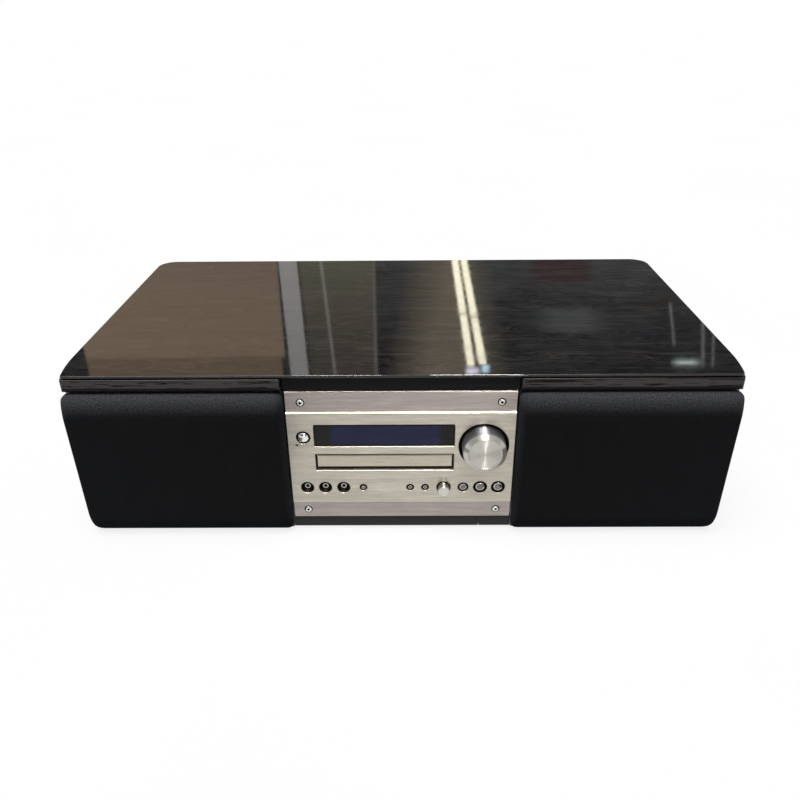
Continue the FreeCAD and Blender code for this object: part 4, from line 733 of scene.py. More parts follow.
@dataclass(frozen=True)
class TwoPart(Finish):
    """A piece in two tones that meet at a plane, such as a metal sleeve on a plastic block, or a slot's lining
    painted lit below and shaded above.
    """

    name: str
    axis: Axis
    at: float
    colours: tuple[Colour, Colour]
    metallic: Pair
    roughness: Pair
    grain_mm: float = 1.5

    def make(self) -> Material:
        """Builds the material."""
        r = Recipe(self.name)
        share = r.edge(r.part(r.place(), self.axis), self.at)
        grit = r.noise(self.grain_mm * MM, 4.0, 0.6)
        tones = (r.mix(r.spread(grit), tint(colour, by), colour) for colour, by in zip(self.colours, (0.75, 0.82)))
        rough = r.calc("ADD", r.remap(share, 0.0, 1.0, *self.roughness), r.spread(grit, -0.04, 0.05))
        r.bump(grit, 0.00005, 0.3)
        return r.finish(Base_Color=r.mix(share, *tones), Metallic=r.remap(share, 0.0, 1.0, *self.metallic),
                        Roughness=rough)


# Meshes


class Shape:
    """A piece in the making: a bmesh with the few operators that the pieces share."""

    def __init__(self) -> None:
        """Starts an empty mesh."""
        self.bm = bmesh.new()

    def turn(self, profile: list[Pair], x: float, z: float, steps: int, closed: bool = True) -> None:
        """Spins a profile about an axis along Y.

        Args:
            profile: Points of radius and depth, in metres.
            x: The axis's place across.
            z: The axis's height.
            steps: Faces round it.
            closed: Whether the last point joins the first.
        """
        points = [self.bm.verts.new((x + r, y, z)) for r, y in profile]
        last = len(points) if closed else len(points) - 1
        edges = [self.bm.edges.new((points[i], points[(i + 1) % len(points)])) for i in range(last)]
        bmesh.ops.spin(self.bm, geom=points + edges, cent=(x, 0.0, z), axis=(0.0, 1.0, 0.0),
                       dvec=(0.0, 0.0, 0.0), angle=2 * math.pi, steps=steps, use_merge=True)

    def block(self, low: Vector, high: Vector, bevel: float = 0.0) -> list[bmesh.types.BMVert]:
        """Adds a block with eased edges.

        Args:
            low: Its lowest corner.
            high: Its highest corner.
            bevel: How far its edges are eased.

        Returns:
            The corners it had before they were eased.
        """
        place = Matrix.Translation((low + high) / 2) @ Matrix.Diagonal((*(high - low), 1.0))
        made = bmesh.ops.create_cube(self.bm, size=1.0, matrix=place)["verts"]
        if bevel > 0:
            self.ease(self.edges_at(made), bevel)
        return made

    def edges_at(self, verts: list[bmesh.types.BMVert]) -> list[bmesh.types.BMEdge]:
        """The edges at some corners, each once and in a fixed order."""
        return list(dict.fromkeys(e for v in verts for e in v.link_edges))

    def ease(self, edges: list[bmesh.types.BMEdge], offset: float) -> None:
        """Eases edges with two faces across each."""
        bmesh.ops.bevel(self.bm, geom=edges, offset=offset, segments=2, profile=0.5, affect="EDGES", material=-1)

    def sleeve(self, low: Vector, high: Vector, wall: float) -> None:
        """Adds a square sleeve along Y, open at both ends.

        Args:
            low: Its lowest outer corner.
            high: Its highest outer corner.
            wall: Its wall's thickness.
        """
        faces = list(dict.fromkeys(f for v in self.block(low, high) for f in v.link_faces))
        ends = [f for f in faces if abs(f.normal.y) > 0.5]
        bmesh.ops.delete(self.bm, geom=ends, context="FACES_ONLY")
        bmesh.ops.solidify(self.bm, geom=[f for f in faces if f.is_valid], thickness=wall)

    def piece(self, name: str, smooth_deg: float = 35.0) -> Object:
        """Merges doubles, points the faces outwards and makes the object.

        Args:
            name: The piece's name.
            smooth_deg: Edges sharper than this stay sharp.

        Returns:
            The new object.
        """
        bmesh.ops.remove_doubles(self.bm, verts=self.bm.verts[:], dist=1e-6)
        bmesh.ops.recalc_face_normals(self.bm, faces=self.bm.faces[:])
        for face in self.bm.faces:
            face.smooth = True
        mesh = bpy.data.meshes.new(name)
        self.bm.to_mesh(mesh)
        self.bm.free()
        mesh.set_sharp_from_angle(angle=math.radians(smooth_deg))
        made = bpy.data.objects.new(name, mesh)
        bpy.context.scene.collection.objects.link(made)
        return made


@dataclass
class SubAssembly:
    """What the sub-assemblies share: dressing CAD nodes and fitting new pieces."""

    pieces: list[Object] = field(default_factory=list)

    def dress(self, finish: Finish, *nodes: str) -> None:
        """Puts one finish on CAD nodes.

        Args:
            finish: The finish.
            *nodes: The nodes' names.
        """
        made = finish.make()
        for name in nodes:
            node = frame["nodes"][name]
            if not node.material_slots:
                node.data.materials.append(made)
            for place in node.material_slots:
                place.material = made

    def fit(self, piece: Object, finish: Finish, body: str, slot: str) -> Object:
        """Dresses a new piece and sets it on its body.

        Args:
            piece: The piece.
            finish: Its finish.
            body: The CAD body it rides on.
            slot: The record's material slot; not used.

        Returns:
            The piece.
        """
        piece.data.materials.append(finish.make())
        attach(piece, body)
        self.pieces.append(piece)
        return piece

    def report(self) -> None:
        """Logs each piece of the sub-assembly."""
        for piece in self.pieces:
            LOG.info("%s: %s, %d faces", type(self).__name__, piece.name, len(piece.data.polygons))


def middle(node: str) -> Vector:
    """The middle of a CAD node's box."""
    low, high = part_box(node)
    return (low + high) / 2


@dataclass
class Board(SubAssembly):
    """The lacquered board, the rails under it and the felt that carries it."""

    pad_r_mm: float = 10.0
    side_pad_r_mm: float = 8.0
    inset_mm: float = 35.0

    def felt(self) -> Object:
        """Felt discs with soft edges, in place of the CAD's plain ones.

        Returns:
            The discs as one piece.
        """
        shape = Shape()
        box_low, box_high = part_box("right_cabinet")
        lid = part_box("top_board")[0].z
        inset = self.inset_mm * MM
        for side, x, y in product((-1, 1), (box_low.x + inset, box_high.x - inset),
                                  (box_low.y + inset, box_high.y - inset)):
            self.disc(shape, Vector((side * x, y, box_high.z)), Vector((side * x, y, lid)), self.pad_r_mm)
        self.side_discs(shape, box_low.x)
        return shape.piece("felt_pads", 50.0)

    def side_discs(self, shape: Shape, wall_x: float) -> None:
        """Adds the discs between the cabinets and the receiver's case.

        Args:
            shape: The mesh to add them to.
            wall_x: The cabinet's inner face.
        """
        case_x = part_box("case_cover")[1].x
        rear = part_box("rear_panel")[0].y
        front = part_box("front_subpanel")[1].y
        pads = frame["nodes"]["felt_spacers"].data.vertices
        heights = [v.co.z for v in pads if abs(v.co.x) < wall_x + 1e-5]
        z = (min(heights) + max(heights)) / 2
        inset = self.inset_mm * MM
        for side, y in product((-1, 1), (front + inset, rear - inset)):
            self.disc(shape, Vector((side * case_x, y, z)), Vector((side * wall_x, y, z)), self.side_pad_r_mm)

    def disc(self, shape: Shape, start: Vector, end: Vector, radius_mm: float) -> None:
        """Adds one disc from one point to another.

        Args:
            shape: The mesh to add it to.
            start: The middle of one face.
            end: The middle of the other.
            radius_mm: Its radius.
        """
        thick = (end - start).length
        turn = (end - start).to_track_quat("Z", "Y").to_matrix().to_4x4()
        made = bmesh.ops.create_cone(shape.bm, cap_ends=True, segments=40, radius1=radius_mm * MM,
                                     radius2=radius_mm * MM, depth=thick,
                                     matrix=Matrix.Translation((start + end) / 2) @ turn)["verts"]
        rims = [e for e in shape.edges_at(made)
                if len(e.link_faces) == 2 and any(len(f.verts) > 4 for f in e.link_faces)]
        shape.ease(rims, thick * 0.3)

    def build(self) -> None:
        """Dresses the board and its rails and makes the felt."""
        self.dress(Lacquer(ripple=0.05), "top_board")
        self.dress(Lacquer("rail_lacquer", (0.008, 0.004, 0.004), (0.040, 0.018, 0.017), 1.4), "front_rails")
        pads = self.fit(self.felt(), Felt(), frame["nodes"]["felt_spacers"]["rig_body"], "felt")
        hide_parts("felt_spacers")


@dataclass(frozen=True)
class ClothRing:
    """One ring of the grille's cloth: how far ahead of its back it lies, and its share of the bevel."""

    ahead_mm: float
    share: float


@dataclass(frozen=True)
class GrilleForm:
    """The stretched cloth's form on the right-hand grille: a square edge, a bevel and an eased face."""

    top_mm: float = 16.4
    bottom_mm: float = 16.0
    inner_mm: float = 5.5
    outer_mm: float = 3.0
    corner_mm: float = 8.5
    lean_mm: float = 2.4
    straight_mm: float = 4.0
    bow: float = 0.4
    columns: int = 44
    rows: int = 32
    thick_mm: float = 0.8

    def rings(self, depth_mm: float) -> list[ClothRing]:
        """The rings from the face back to the edge, close together where the form turns.

        Args:
            depth_mm: The grille's depth, back to face.

        Returns:
            The rings, the face's own first.
        """
        rise = depth_mm - self.straight_mm
        rings = []
        for degrees in range(90, 0, -10):
            angle = math.radians(degrees)
            bowed = 1 - math.cos(angle)
            flat = min(1.1, 0.78 * math.sin(angle) * rise / (rise - 2.0))
            share = self.bow * 1.1 * bowed + (1 - self.bow) * flat
            rings.append(ClothRing(self.straight_mm + rise * math.sin(angle), share))
        return rings + [ClothRing(ahead, 0.0) for ahead in (self.straight_mm, self.straight_mm - 1.0, 0.0)]


class Cloth:
    """The knit stretched over one grille: a grid for the face, then rings back to the edge.

    It is drawn on the right and mirrored for the left. Each vertex keeps its place on the unit square and how
    far it lies from the face's edge over the surface.
    """

    def __init__(self, node: str, side: int) -> None:
        """Takes the cloth's corners from its CAD node.

        Args:
            node: The node's name.
            side: 1 on the right, -1 on the left.
        """
        self.side = side
        self.low, self.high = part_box(node)
        if side < 0:
            self.low.x, self.high.x = -self.high.x, -self.low.x
        self.form = GrilleForm()
        self.shape = Shape()
        self.layer = self.shape.bm.loops.layers.uv.new("cloth")
        self.unit: dict[bmesh.types.BMVert, Pair] = {}
        self.reach: dict[bmesh.types.BMVert, float] = {}

    def outline(self, x: float, z: float, ring: ClothRing) -> Pair:
        """Where a point of the unit square lies on one ring.

        Args:
            x: The point's place across, from 0 inside to 1 outside.
            z: The point's height, from 0 to 1.
            ring: The ring.

        Returns:
            Its place across and its height, in metres.
        """
        form, low, high = self.form, self.low, self.high
        x0 = low.x + form.inner_mm * MM * ring.share
        x1 = high.x - form.outer_mm * MM * ring.share
        z0 = low.z + form.bottom_mm * MM * ring.share
        z1 = high.z - form.top_mm * MM * ring.share
        px = x0 + (x1 - x0) * x
        pz = z0 + (z1 - z0) * z
        r = form.corner_mm * MM * (0.5 if x < 0.5 else 1.0)
        cx = min(max(px, x0 + r), x1 - r)
        cz = min(max(pz, z0 + r), z1 - r)
        away = Vector((px - cx, pz - cz))
        if abs(away.x) > 1e-9 and abs(away.y) > 1e-9:
            away = away.normalized() * max(abs(away.x), abs(away.y))
            px, pz = cx + away.x, cz + away.y
        lean = form.lean_mm * MM * (high.z - pz) / (high.z - low.z) * (px - low.x) / (high.x - low.x)
        return px - lean, pz

    def set_ring(self, verts: list[bmesh.types.BMVert], ring: ClothRing, reach: float) -> None:
        """Moves vertices to where a ring has them.

        Args:
            verts: The vertices to move.
            ring: The ring.
            reach: How far the ring lies from the face's edge, over the surface.
        """
        for v in verts:
            x, z = self.outline(*self.unit[v], ring)
            v.co = Vector((x, self.high.y - ring.ahead_mm * MM, z))
            self.reach[v] = reach

    def extrude(self, rim: list[bmesh.types.BMEdge], ring: ClothRing, reach: float) -> list[bmesh.types.BMEdge]:
        """Extrudes the rim to the next ring.

        Args:
            rim: The cloth's open edges.
            ring: The ring to reach.
            reach: How far that ring lies from the face's edge, over the surface.

        Returns:
            The new open edges.
        """
        out = bmesh.ops.extrude_edge_only(self.shape.bm, edges=rim)["geom"]
        fresh = [g for g in out if isinstance(g, bmesh.types.BMVert)]
        for v in fresh:
            near = min((e.other_vert(v) for e in v.link_edges if e.other_vert(v) in self.unit),
                       key=lambda w: (w.co - v.co).length)
            self.unit[v] = self.unit[near]
        self.set_ring(fresh, ring, reach)
        return [g for g in out if isinstance(g, bmesh.types.BMEdge) and g.is_boundary]

    def lay_out(self) -> None:
        """Lays the cloth flat on its UV map, in metres, so that the knit follows the surface."""
        size = self.high - self.low
        for loop in (loop for face in self.shape.bm.faces for loop in face.loops):
            spot, away = self.unit[loop.vert], self.reach[loop.vert]
            sides = (2 * share - 1 for share in spot)
            out = [round(side) if abs(side) > 0.999 else 0.0 for side in sides]
            loop[self.layer].uv = (spot[0] * size.x + out[0] * away, spot[1] * size.z + out[1] * away)

    def knit(self, name: str) -> Object:
        """Makes the cloth.

        Args:
            name: The piece's name.

        Returns:
            The cloth, facing the front, smoothed and with its thickness.
        """
        form, bm = self.form, self.shape.bm
        grid = bmesh.ops.create_grid(bm, x_segments=form.columns, y_segments=form.rows, size=0.5)
        self.unit.update({v: (v.co.x + 0.5, v.co.y + 0.5) for v in grid["verts"]})
        rings = form.rings((self.high.y - self.low.y) / MM)
        self.set_ring(list(self.unit), rings[0], 0.0)
        rim = [e for e in bm.edges if e.is_boundary]
        reach = 0.0
        for before, ring in zip(rings, rings[1:]):
            across = (before.share - ring.share) * 0.5 * (form.top_mm + form.inner_mm)
            reach += math.hypot(before.ahead_mm - ring.ahead_mm, across) * MM
            rim = self.extrude(rim, ring, reach)
        self.lay_out()
        for v in bm.verts:
            v.co.x *= self.side
        piece = self.shape.piece(name, 180.0)
        if sum((p.normal.y * p.area for p in piece.data.polygons), 0.0) > 0:
            piece.data.flip_normals()
        smooth = piece.modifiers.new("smooth", "SUBSURF")
        smooth.levels = smooth.render_levels = 1
        wall = piece.modifiers.new("cloth", "SOLIDIFY")
        wall.thickness = form.thick_mm * MM
        wall.offset = -1.0
        return piece


@dataclass
class Speaker(SubAssembly):
    """One speaker: its cabinet, drivers, grille frame and the knit stretched over the frame."""

    side: int = 1

    def label(self, name: str) -> str:
        """A node's name on this side."""
        return ("right_" if self.side > 0 else "left_") + name

    def build(self) -> None:
        """Dresses the speaker's nodes and stretches its cloth."""
        low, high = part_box(self.label("woofer_cone"))
        finishes = {
            "cabinet": Vinyl(self.label("cabinet_vinyl")),
            "speaker_baffle": Fibreboard(self.label("baffle_board")),
            "woofer_frame": PaintedSteel(self.label("basket_steel"), (0.018, 0.018, 0.019), 0.42),
            "woofer_cone": ConePaper(self.label("cone_paper"), (low + high) / 2, (high.x - low.x) / 2 * CAP_SHARE),
            "grille_frame": Moulding(self.label("grille_moulding"), (0.010, 0.010, 0.011), 0.5),
        }
        for name, finish in finishes.items():
            self.dress(finish, self.label(name))
        node = self.label("grille_cloth")
        knit = Cloth(node, self.side).knit(self.label("grille_knit"))
        cloth = self.fit(knit, Knit(self.label("acoustic_knit")), frame["nodes"][node]["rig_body"], "grille_cloth")
        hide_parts(self.label("grille_cloth"))


@dataclass
class Drivers(SubAssembly):
    """What the two speakers share: surrounds, tweeters and filter boards."""

    def build(self) -> None:
        """Dresses the shared nodes."""
        self.dress(Rubber("surround_rubber", (0.014, 0.014, 0.015), 0.5), "woofer_surrounds")
        self.dress(Moulding("tweeter_plastic", (0.016, 0.016, 0.017), 0.4), "tweeters")
        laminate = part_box("crossover_boards")[1].y - 0.0066
        self.dress(CircuitBoard("filter_board", laminate, 0.0016), "crossover_boards")


@dataclass
class Panel(SubAssembly):
    """The aluminium plates and what lines their openings."""

    jack_xs_mm: tuple[float, ...] = (-90.5, -73.2, -55.7)
    jack_hole_r_mm: float = 6.2
    jack_ring_r_mm: float = 3.1
    wall_mm: float = 0.35
    edge_mm: float = 0.55
    slot_gap_mm: float = 1.4
    slot_low_gap_mm: float = 3.1
    notch_x_mm: float = -51.0
    notch_half_mm: float = 5.5
    screw_r_mm: float = 3.5
    screw_sink_mm: float = 0.8
    gaps_mm: tuple[tuple[str, float], ...] = (
        ("power_button", 1.7), ("dimmer_button", 1.5), ("program_button", 1.5), ("repeat_button", 1.5),
        ("eject_button", 1.4), ("play_button", 1.8), ("stop_button", 1.8), ("volume_knob", 3.2),
        ("selector_knob", 1.2))

    def depths(self) -> tuple[float, float, float]:
        """Depths of the linings' front, of the sub-panel's face and of its back."""
        low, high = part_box("front_subpanel")
        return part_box("face_main_plate")[0].y + self.edge_mm * MM, low.y, high.y

    def screws(self) -> tuple[Pair, ...]:
        """Where the four screws' axes are."""
        low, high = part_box("face_screws")
        head = self.screw_r_mm * MM
        return tuple(product((low.x + head, high.x - head), (low.z + head, high.z - head)))

    def jacks(self) -> tuple[Pair, ...]:
        """Where the three sockets' axes are."""
        z = middle("play_button").z
        return tuple((x * MM, z) for x in self.jack_xs_mm)

    def sleeves(self) -> Object:
        """Thin black sleeves in the round openings, and a dark ring of painted shade in each screw's counterbore,
        round its head.

        Returns:
            The sleeves and shade rings as one piece.
        """
        front, sub, _ = self.depths()
        shape = Shape()
        wall = self.wall_mm * MM
        for name, gap in self.gaps_mm:
            low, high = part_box(name)
            spot = (low + high) / 2
            r = (high.x - low.x) / 2 + gap * MM - PLAY
            shape.turn([(r, front), (r, sub), (r - wall, sub), (r - wall, front + 0.0001)], spot.x, spot.z, 72)
        head = self.screw_r_mm * MM
        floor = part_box("face_base_plate")[0].y + self.screw_sink_mm * MM
        inner, outer = head + 0.00005, head + 0.00047
        # Painted shade: a dark ring stands in the counterbore round each screw's head, where shade falls.
        counterbore_shade = [(inner, floor - 0.00022), (outer, floor - 0.00060), (outer, floor), (inner, floor)]
        for x, z in self.screws():
            shape.turn(counterbore_shade, x, z, 48)
        return shape.piece("opening_sleeves")

    def wells(self) -> Object:
        """Tapered cups round the three sockets.

        Returns:
            The cups as one piece.
        """
        front, sub, _ = self.depths()
        shape = Shape()
        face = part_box("input_jacks")[0].y
        r = self.jack_hole_r_mm * MM - PLAY
        inner = self.jack_ring_r_mm * MM + 0.0001
        cup = [(r, front), (r, sub), (inner, sub), (inner, face + 0.0012), (inner + 0.0004, face + 0.0009),
               (r - 0.0008, front + 0.0006), (r - 0.0003, front)]
        for x, z in self.jacks():
            shape.turn(cup, x, z, 64)
        return shape.piece("socket_wells")

    def slot_lining(self) -> Object:
        """Lining of the tray's slot, with a small notch on its floor; it carries painted shade on its walls and roof
        and painted light on its floor.

        Returns:
            The lining.
        """
        front, _, back = self.depths()
        low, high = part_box("tray_front")
        side = self.slot_gap_mm * MM - PLAY
        floor = low.z - self.slot_low_gap_mm * MM
        wall = 0.0004
        shape = Shape()
        shape.sleeve(Vector((low.x - side, front, floor + PLAY)), Vector((high.x + side, back, high.z + side)), wall)
        at, half = self.notch_x_mm * MM, self.notch_half_mm * MM
        shape.block(Vector((at - half, front, floor + wall)),
                    Vector((at + half, front + 0.0020, floor + wall + 0.0011)), 0.0002)
        return shape.piece("slot_lining", 30.0)

    def build(self) -> None:
        """Dresses the plates and makes the linings."""
        for name, colour, rough, streak, node in (
                ("pale_aluminium", (0.462, 0.430, 0.368), 0.32, 0.22, "face_main_plate"),
                ("mauve_aluminium", (0.358, 0.316, 0.300), 0.32, 0.20, "face_base_plate"),
                ("tray_aluminium", (0.470, 0.428, 0.350), 0.30, 0.16, "tray_front")):
            self.dress(BrushedMetal(name, colour, rough, streak), node)
        # Painted shade: each screw head is dark inside 1.25 mm, in its hex socket, and outside 3.1 mm, at its rim in
        # the counterbore; only the ring between is bright steel.
        self.dress(MetalRings("screw_steel", self.screws(), 0.00125, 0.0031, (0.80, 0.79, 0.77)), "face_screws")
        self.dress(Moulding("subpanel_black", (0.003, 0.003, 0.003), 0.5, gloss=0.08), "front_subpanel")
        filter_x, half = middle("display_tube").x - 0.002, 0.0505
        self.dress(SmokedWindow("smoked_window", filter_x - half, filter_x + half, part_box("display_window")),
                   "display_window")
        self.dress(LampLens(), "standby_led")
        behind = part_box("input_jacks")[0].y + 0.006
        self.dress(MetalRings("jack_plating", self.jacks(), 0.0018, 0.0027, (0.52, 0.50, 0.47),
                              (0.010, 0.007, 0.006), behind), "input_jacks")
        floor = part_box("tray_front")[0].z - self.slot_low_gap_mm * MM
        for piece, finish in (
                (self.sleeves(), Moulding("sleeve_black", (0.0025, 0.0025, 0.0025), 0.5, gloss=0.06)),
                (self.wells(), Moulding("well_black", (0.013, 0.008, 0.006), 0.45, gloss=0.08)),
                # Painted light and shade: the slot's upward-facing floor is pale grey as if lit, and its walls and
                # roof above are dark as if in shade.
                (self.slot_lining(), TwoPart("slot_grey", Axis.Z, floor + 0.0006, (
                    (0.16, 0.135, 0.13), (0.006, 0.005, 0.005)), (0.0, 0.0), (0.5, 0.5)))):
            self.fit(piece, finish, "receiver", "black_plastic")


@dataclass
class Controls(SubAssembly):
    """Knobs and buttons."""

    marks_deg: tuple[float, ...] = (-58.0, -29.0, 0.0, 29.0, 58.0, -128.0, 128.0)
    mark_from_mm: float = 9.4
    mark_mm: tuple[float, float, float] = (0.44, 0.08, 2.2)

    def ticks(self) -> Object:
        """Short printed marks round the selector.

        Returns:
            The marks as one piece.
        """
        spot = middle("selector_knob")
        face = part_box("face_main_plate")[0].y
        wide, thick, long = (size * MM for size in self.mark_mm)
        start = self.mark_from_mm * MM
        shape = Shape()
        for angle in self.marks_deg:
            made = shape.block(Vector((-wide / 2, -thick / 2, start)), Vector((wide / 2, thick / 2, start + long)))
            turn = Matrix.Rotation(math.radians(angle), 4, "Y")
            bmesh.ops.transform(shape.bm, matrix=Matrix.Translation((spot.x, face, spot.z)) @ turn, verts=made)
        return shape.piece("selector_marks")

    def build(self) -> None:
        """Dresses the knobs and buttons and prints the marks."""
        low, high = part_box("volume_knob")
        reach = (high.x - low.x) / 2
        self.dress(TurnedMetal("knob_aluminium", (low + high) / 2, (0.60, 0.585, 0.535), (0.30, 0.295, 0.32),
                               reach - 0.0006, reach - 0.0002, 0.30, 0.15, 0.99), "volume_knob")
        self.dress(TurnedMetal("selector_aluminium", middle("selector_knob"), (0.62, 0.61, 0.56),
                               (0.52, 0.51, 0.48), 0.0051, 0.0055, 0.24, 0.1, 0.98), "selector_knob")
        for name in ("dimmer", "program", "repeat", "eject", "play", "stop"):
            low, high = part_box(name + "_button")
            r = (high.x - low.x) / 2
            self.dress(TurnedMetal(name + "_metal", (low + high) / 2, (0.19, 0.175, 0.16), (0.46, 0.44, 0.41),
                                   r * 0.60, r * 0.74, 0.16, 0.2, 0.1, r * 0.87), name + "_button")
        self.dress(Plating("chrome", (0.80, 0.80, 0.79), 0.10, 0.06, 3.0), "power_button")
        self.fit(self.ticks(), Moulding("mark_white", (0.70, 0.69, 0.66), 0.6), "receiver", "pale_aluminium")


@dataclass
class Drive(SubAssembly):
    """The tray, its gears and the disc mechanism."""

    def build(self) -> None:
        """Dresses the mechanism's nodes."""
        self.dress(Moulding("tray_plastic", (0.026, 0.026, 0.028), 0.42, 0.4, 0.4), "disc_tray")
        self.dress(Moulding("deck_plastic", (0.040, 0.040, 0.042), 0.5, 0.8, 0.5), "deck_frame")
        self.dress(Moulding("gear_plastic", (0.62, 0.60, 0.54), 0.42, 0.5, 0.2), "loading_gear", "motor_pinion")
        self.dress(Plating("motor_steel", (0.50, 0.50, 0.49), 0.28), "loading_motor", "lead_screw")
        self.dress(PaintedSteel("traverse_zinc", (0.42, 0.42, 0.40), 0.4, 0.8), "traverse_frame")
        self.dress(Moulding("sled_plastic", (0.016, 0.016, 0.017), 0.45), "pickup_sled")
        self.dress(Moulding("turntable_plastic", (0.020, 0.020, 0.021), 0.35), "turntable")
        self.dress(PaintedSteel("bridge_zinc", (0.46, 0.45, 0.42), 0.35, 0.9), "clamp_bridge")
        self.dress(Moulding("puck_plastic", (0.022, 0.022, 0.024), 0.4), "clamp_puck")


@dataclass
class Case(SubAssembly):
    """The receiver's case, strips, sockets and what stands on its floor."""

    phono_xs_mm: tuple[float, ...] = (-30.0, -12.0, 6.0)
    phono_z_mm: float = 9.0
    screw_spots_mm: tuple[Pair, ...] = (
        (-98.0, 14.0), (98.0, 14.0), (-98.0, 152.0), (98.0, 152.0), (0.0, 14.0), (40.0, 152.0))

    def phono_rings(self, rear: float) -> Object:
        """Coloured insulating rings at the phono sockets' roots.

        Args:
            rear: The rear panel's outer face.

        Returns:
            The rings as one piece.
        """
        low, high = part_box("rca_jacks")
        shape = Shape()
        ring = [(0.00425, rear), (0.0066, rear), (0.0066, rear + 0.0009), (0.0061, rear + 0.0013),
                (0.0047, rear + 0.0013), (0.00425, rear + 0.0009)]
        inset = self.phono_z_mm * MM
        for z, x_mm in product((low.z + inset, high.z - inset), self.phono_xs_mm):
            shape.turn(ring, x_mm * MM, z, 40)
        return shape.piece("phono_rings")

    def rear_screws(self, rear: float) -> Object:
        """Pan-head screws that hold the rear panel.

        Args:
            rear: The rear panel's outer face.

        Returns:
            The screws as one piece.
        """
        shape = Shape()
        head = [(0.0, rear), (0.0029, rear), (0.0029, rear + 0.0008), (0.0022, rear + 0.0017),
                (0.0009, rear + 0.0021), (0.0, rear + 0.0021)]
        for x_mm, z_mm in self.screw_spots_mm:
            shape.turn(head, x_mm * MM, z_mm * MM, 32, False)
        return shape.piece("rear_screws")

    def build(self) -> None:
        """Dresses the case's nodes and makes the rings and screws."""
        self.dress(PaintedSteel("case_black", (0.016, 0.016, 0.017), 0.5), "case_cover", "rear_panel")
        self.dress(PaintedSteel("pan_zinc", (0.50, 0.50, 0.47), 0.35, 0.9), "chassis_pan")
        self.dress(Moulding("header_plastic", (0.0180, 0.0182, 0.0175), 0.34, 0.6, 0.15, 0.09), "header_strip")
        self.dress(Moulding("plinth_plastic", (0.048, 0.047, 0.045), 0.42, 0.6, 0.2, 0.2), "plinth_strip")
        self.dress(Moulding("inlet_plastic", (0.014, 0.014, 0.014), 0.45), "ac_inlet")
        self.dress(Rubber("foot_rubber"), "rubber_feet")
        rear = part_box("rear_panel")[1].y
        for name, off, colours, rough, node in (
                ("phono_plating", 0.0002, ((0.015, 0.015, 0.016), (0.62, 0.60, 0.56)), (0.5, 0.24), "rca_jacks"),
                ("aerial_plating", 0.0045, ((0.022, 0.022, 0.023), (0.60, 0.59, 0.56)), (0.45, 0.25),
                 "antenna_terminal")):
            self.dress(TwoPart(name, Axis.Y, rear + off, colours, (0.0, 1.0), rough), node)
        red_white = TwoPart("phono_colours", Axis.Z, middle("rca_jacks").z,
                            ((0.30, 0.012, 0.010), (0.62, 0.62, 0.60)), (0.0, 0.0), (0.35, 0.35))
        self.fit(self.phono_rings(rear), red_white, "receiver", "plated_sockets")
        zinc = Plating("rear_screw_zinc", (0.10, 0.10, 0.10), 0.35, 0.3, 3.0)
        self.fit(self.rear_screws(rear), zinc, "receiver", "black_steel")


@dataclass
class Electronics(SubAssembly):
    """Boards, transformer, heat sink and display tube inside the case."""

    def build(self) -> None:
        """Dresses the electronics."""
        low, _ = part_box("main_board")
        self.dress(CircuitBoard("main_board_resist", low.z, 0.0075, Axis.Z), "main_board")
        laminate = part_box("control_board")[1].y - 0.008
        self.dress(CircuitBoard("control_board_resist", laminate, 0.0018), "control_board")
        self.dress(TwoPart("transformer_iron", Axis.Z, middle("power_transformer").z,
                           ((0.10, 0.095, 0.09), (0.28, 0.13, 0.02)), (0.6, 0.0), (0.5, 0.4)), "power_transformer")
        self.dress(BrushedMetal("sink_aluminium", (0.62, 0.62, 0.61), 0.35, 0.12), "heat_sink")
        self.dress(TubeGlass(), "display_tube")


# Studio


@dataclass
class Camera:
    """The photograph's camera, worked out from the object's edges."""

    yaw_deg: float = -0.66
    tilt_deg: float = 28.09
    roll_deg: float = -0.55
    x: float = 0.0064
    ahead: float = 0.589
    z: float = 0.459
    lens_mm: float = 33.3
    shift_px: Pair = (-0.5, 0.5)
    picture_px: float = 800.0

    def build(self) -> None:
        """Sets the camera up."""
        yaw, tilt, roll = (math.radians(a) for a in (self.yaw_deg, self.tilt_deg, self.roll_deg))
        ahead = Vector((math.sin(yaw) * math.cos(tilt), math.cos(yaw) * math.cos(tilt), -math.sin(tilt)))
        level = Vector((math.cos(yaw), -math.sin(yaw), 0.0))
        above = level.cross(ahead)
        right = level * math.cos(roll) + above * math.sin(roll)
        up = above * math.cos(roll) - level * math.sin(roll)
        cam = bpy.data.objects.new("camera", bpy.data.cameras.new("camera"))
        bpy.context.scene.collection.objects.link(cam)
        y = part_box("face_base_plate")[0].y - self.ahead
        cam.matrix_world = Matrix(((right.x, up.x, -ahead.x, self.x), (right.y, up.y, -ahead.y, y),
                                   (right.z, up.z, -ahead.z, self.z), (0.0, 0.0, 0.0, 1.0)))
        cam.data.sensor_width = 36.0
        cam.data.lens = self.lens_mm
        cam.data.shift_x, cam.data.shift_y = (shift / self.picture_px for shift in self.shift_px)
        cam.data.clip_start = 0.01
        bpy.context.scene.camera = cam


@dataclass(frozen=True)
class Strip:
    """An upright strip on a card: where it starts and ends across, at the card's lower and upper sight lines.

    It fills the card's height between its own two levels.
    """

    low: Pair
    high: Pair
    soft: float
    low_colour: Colour
    high_colour: Colour
    levels: Pair = (-9.0, 9.0)


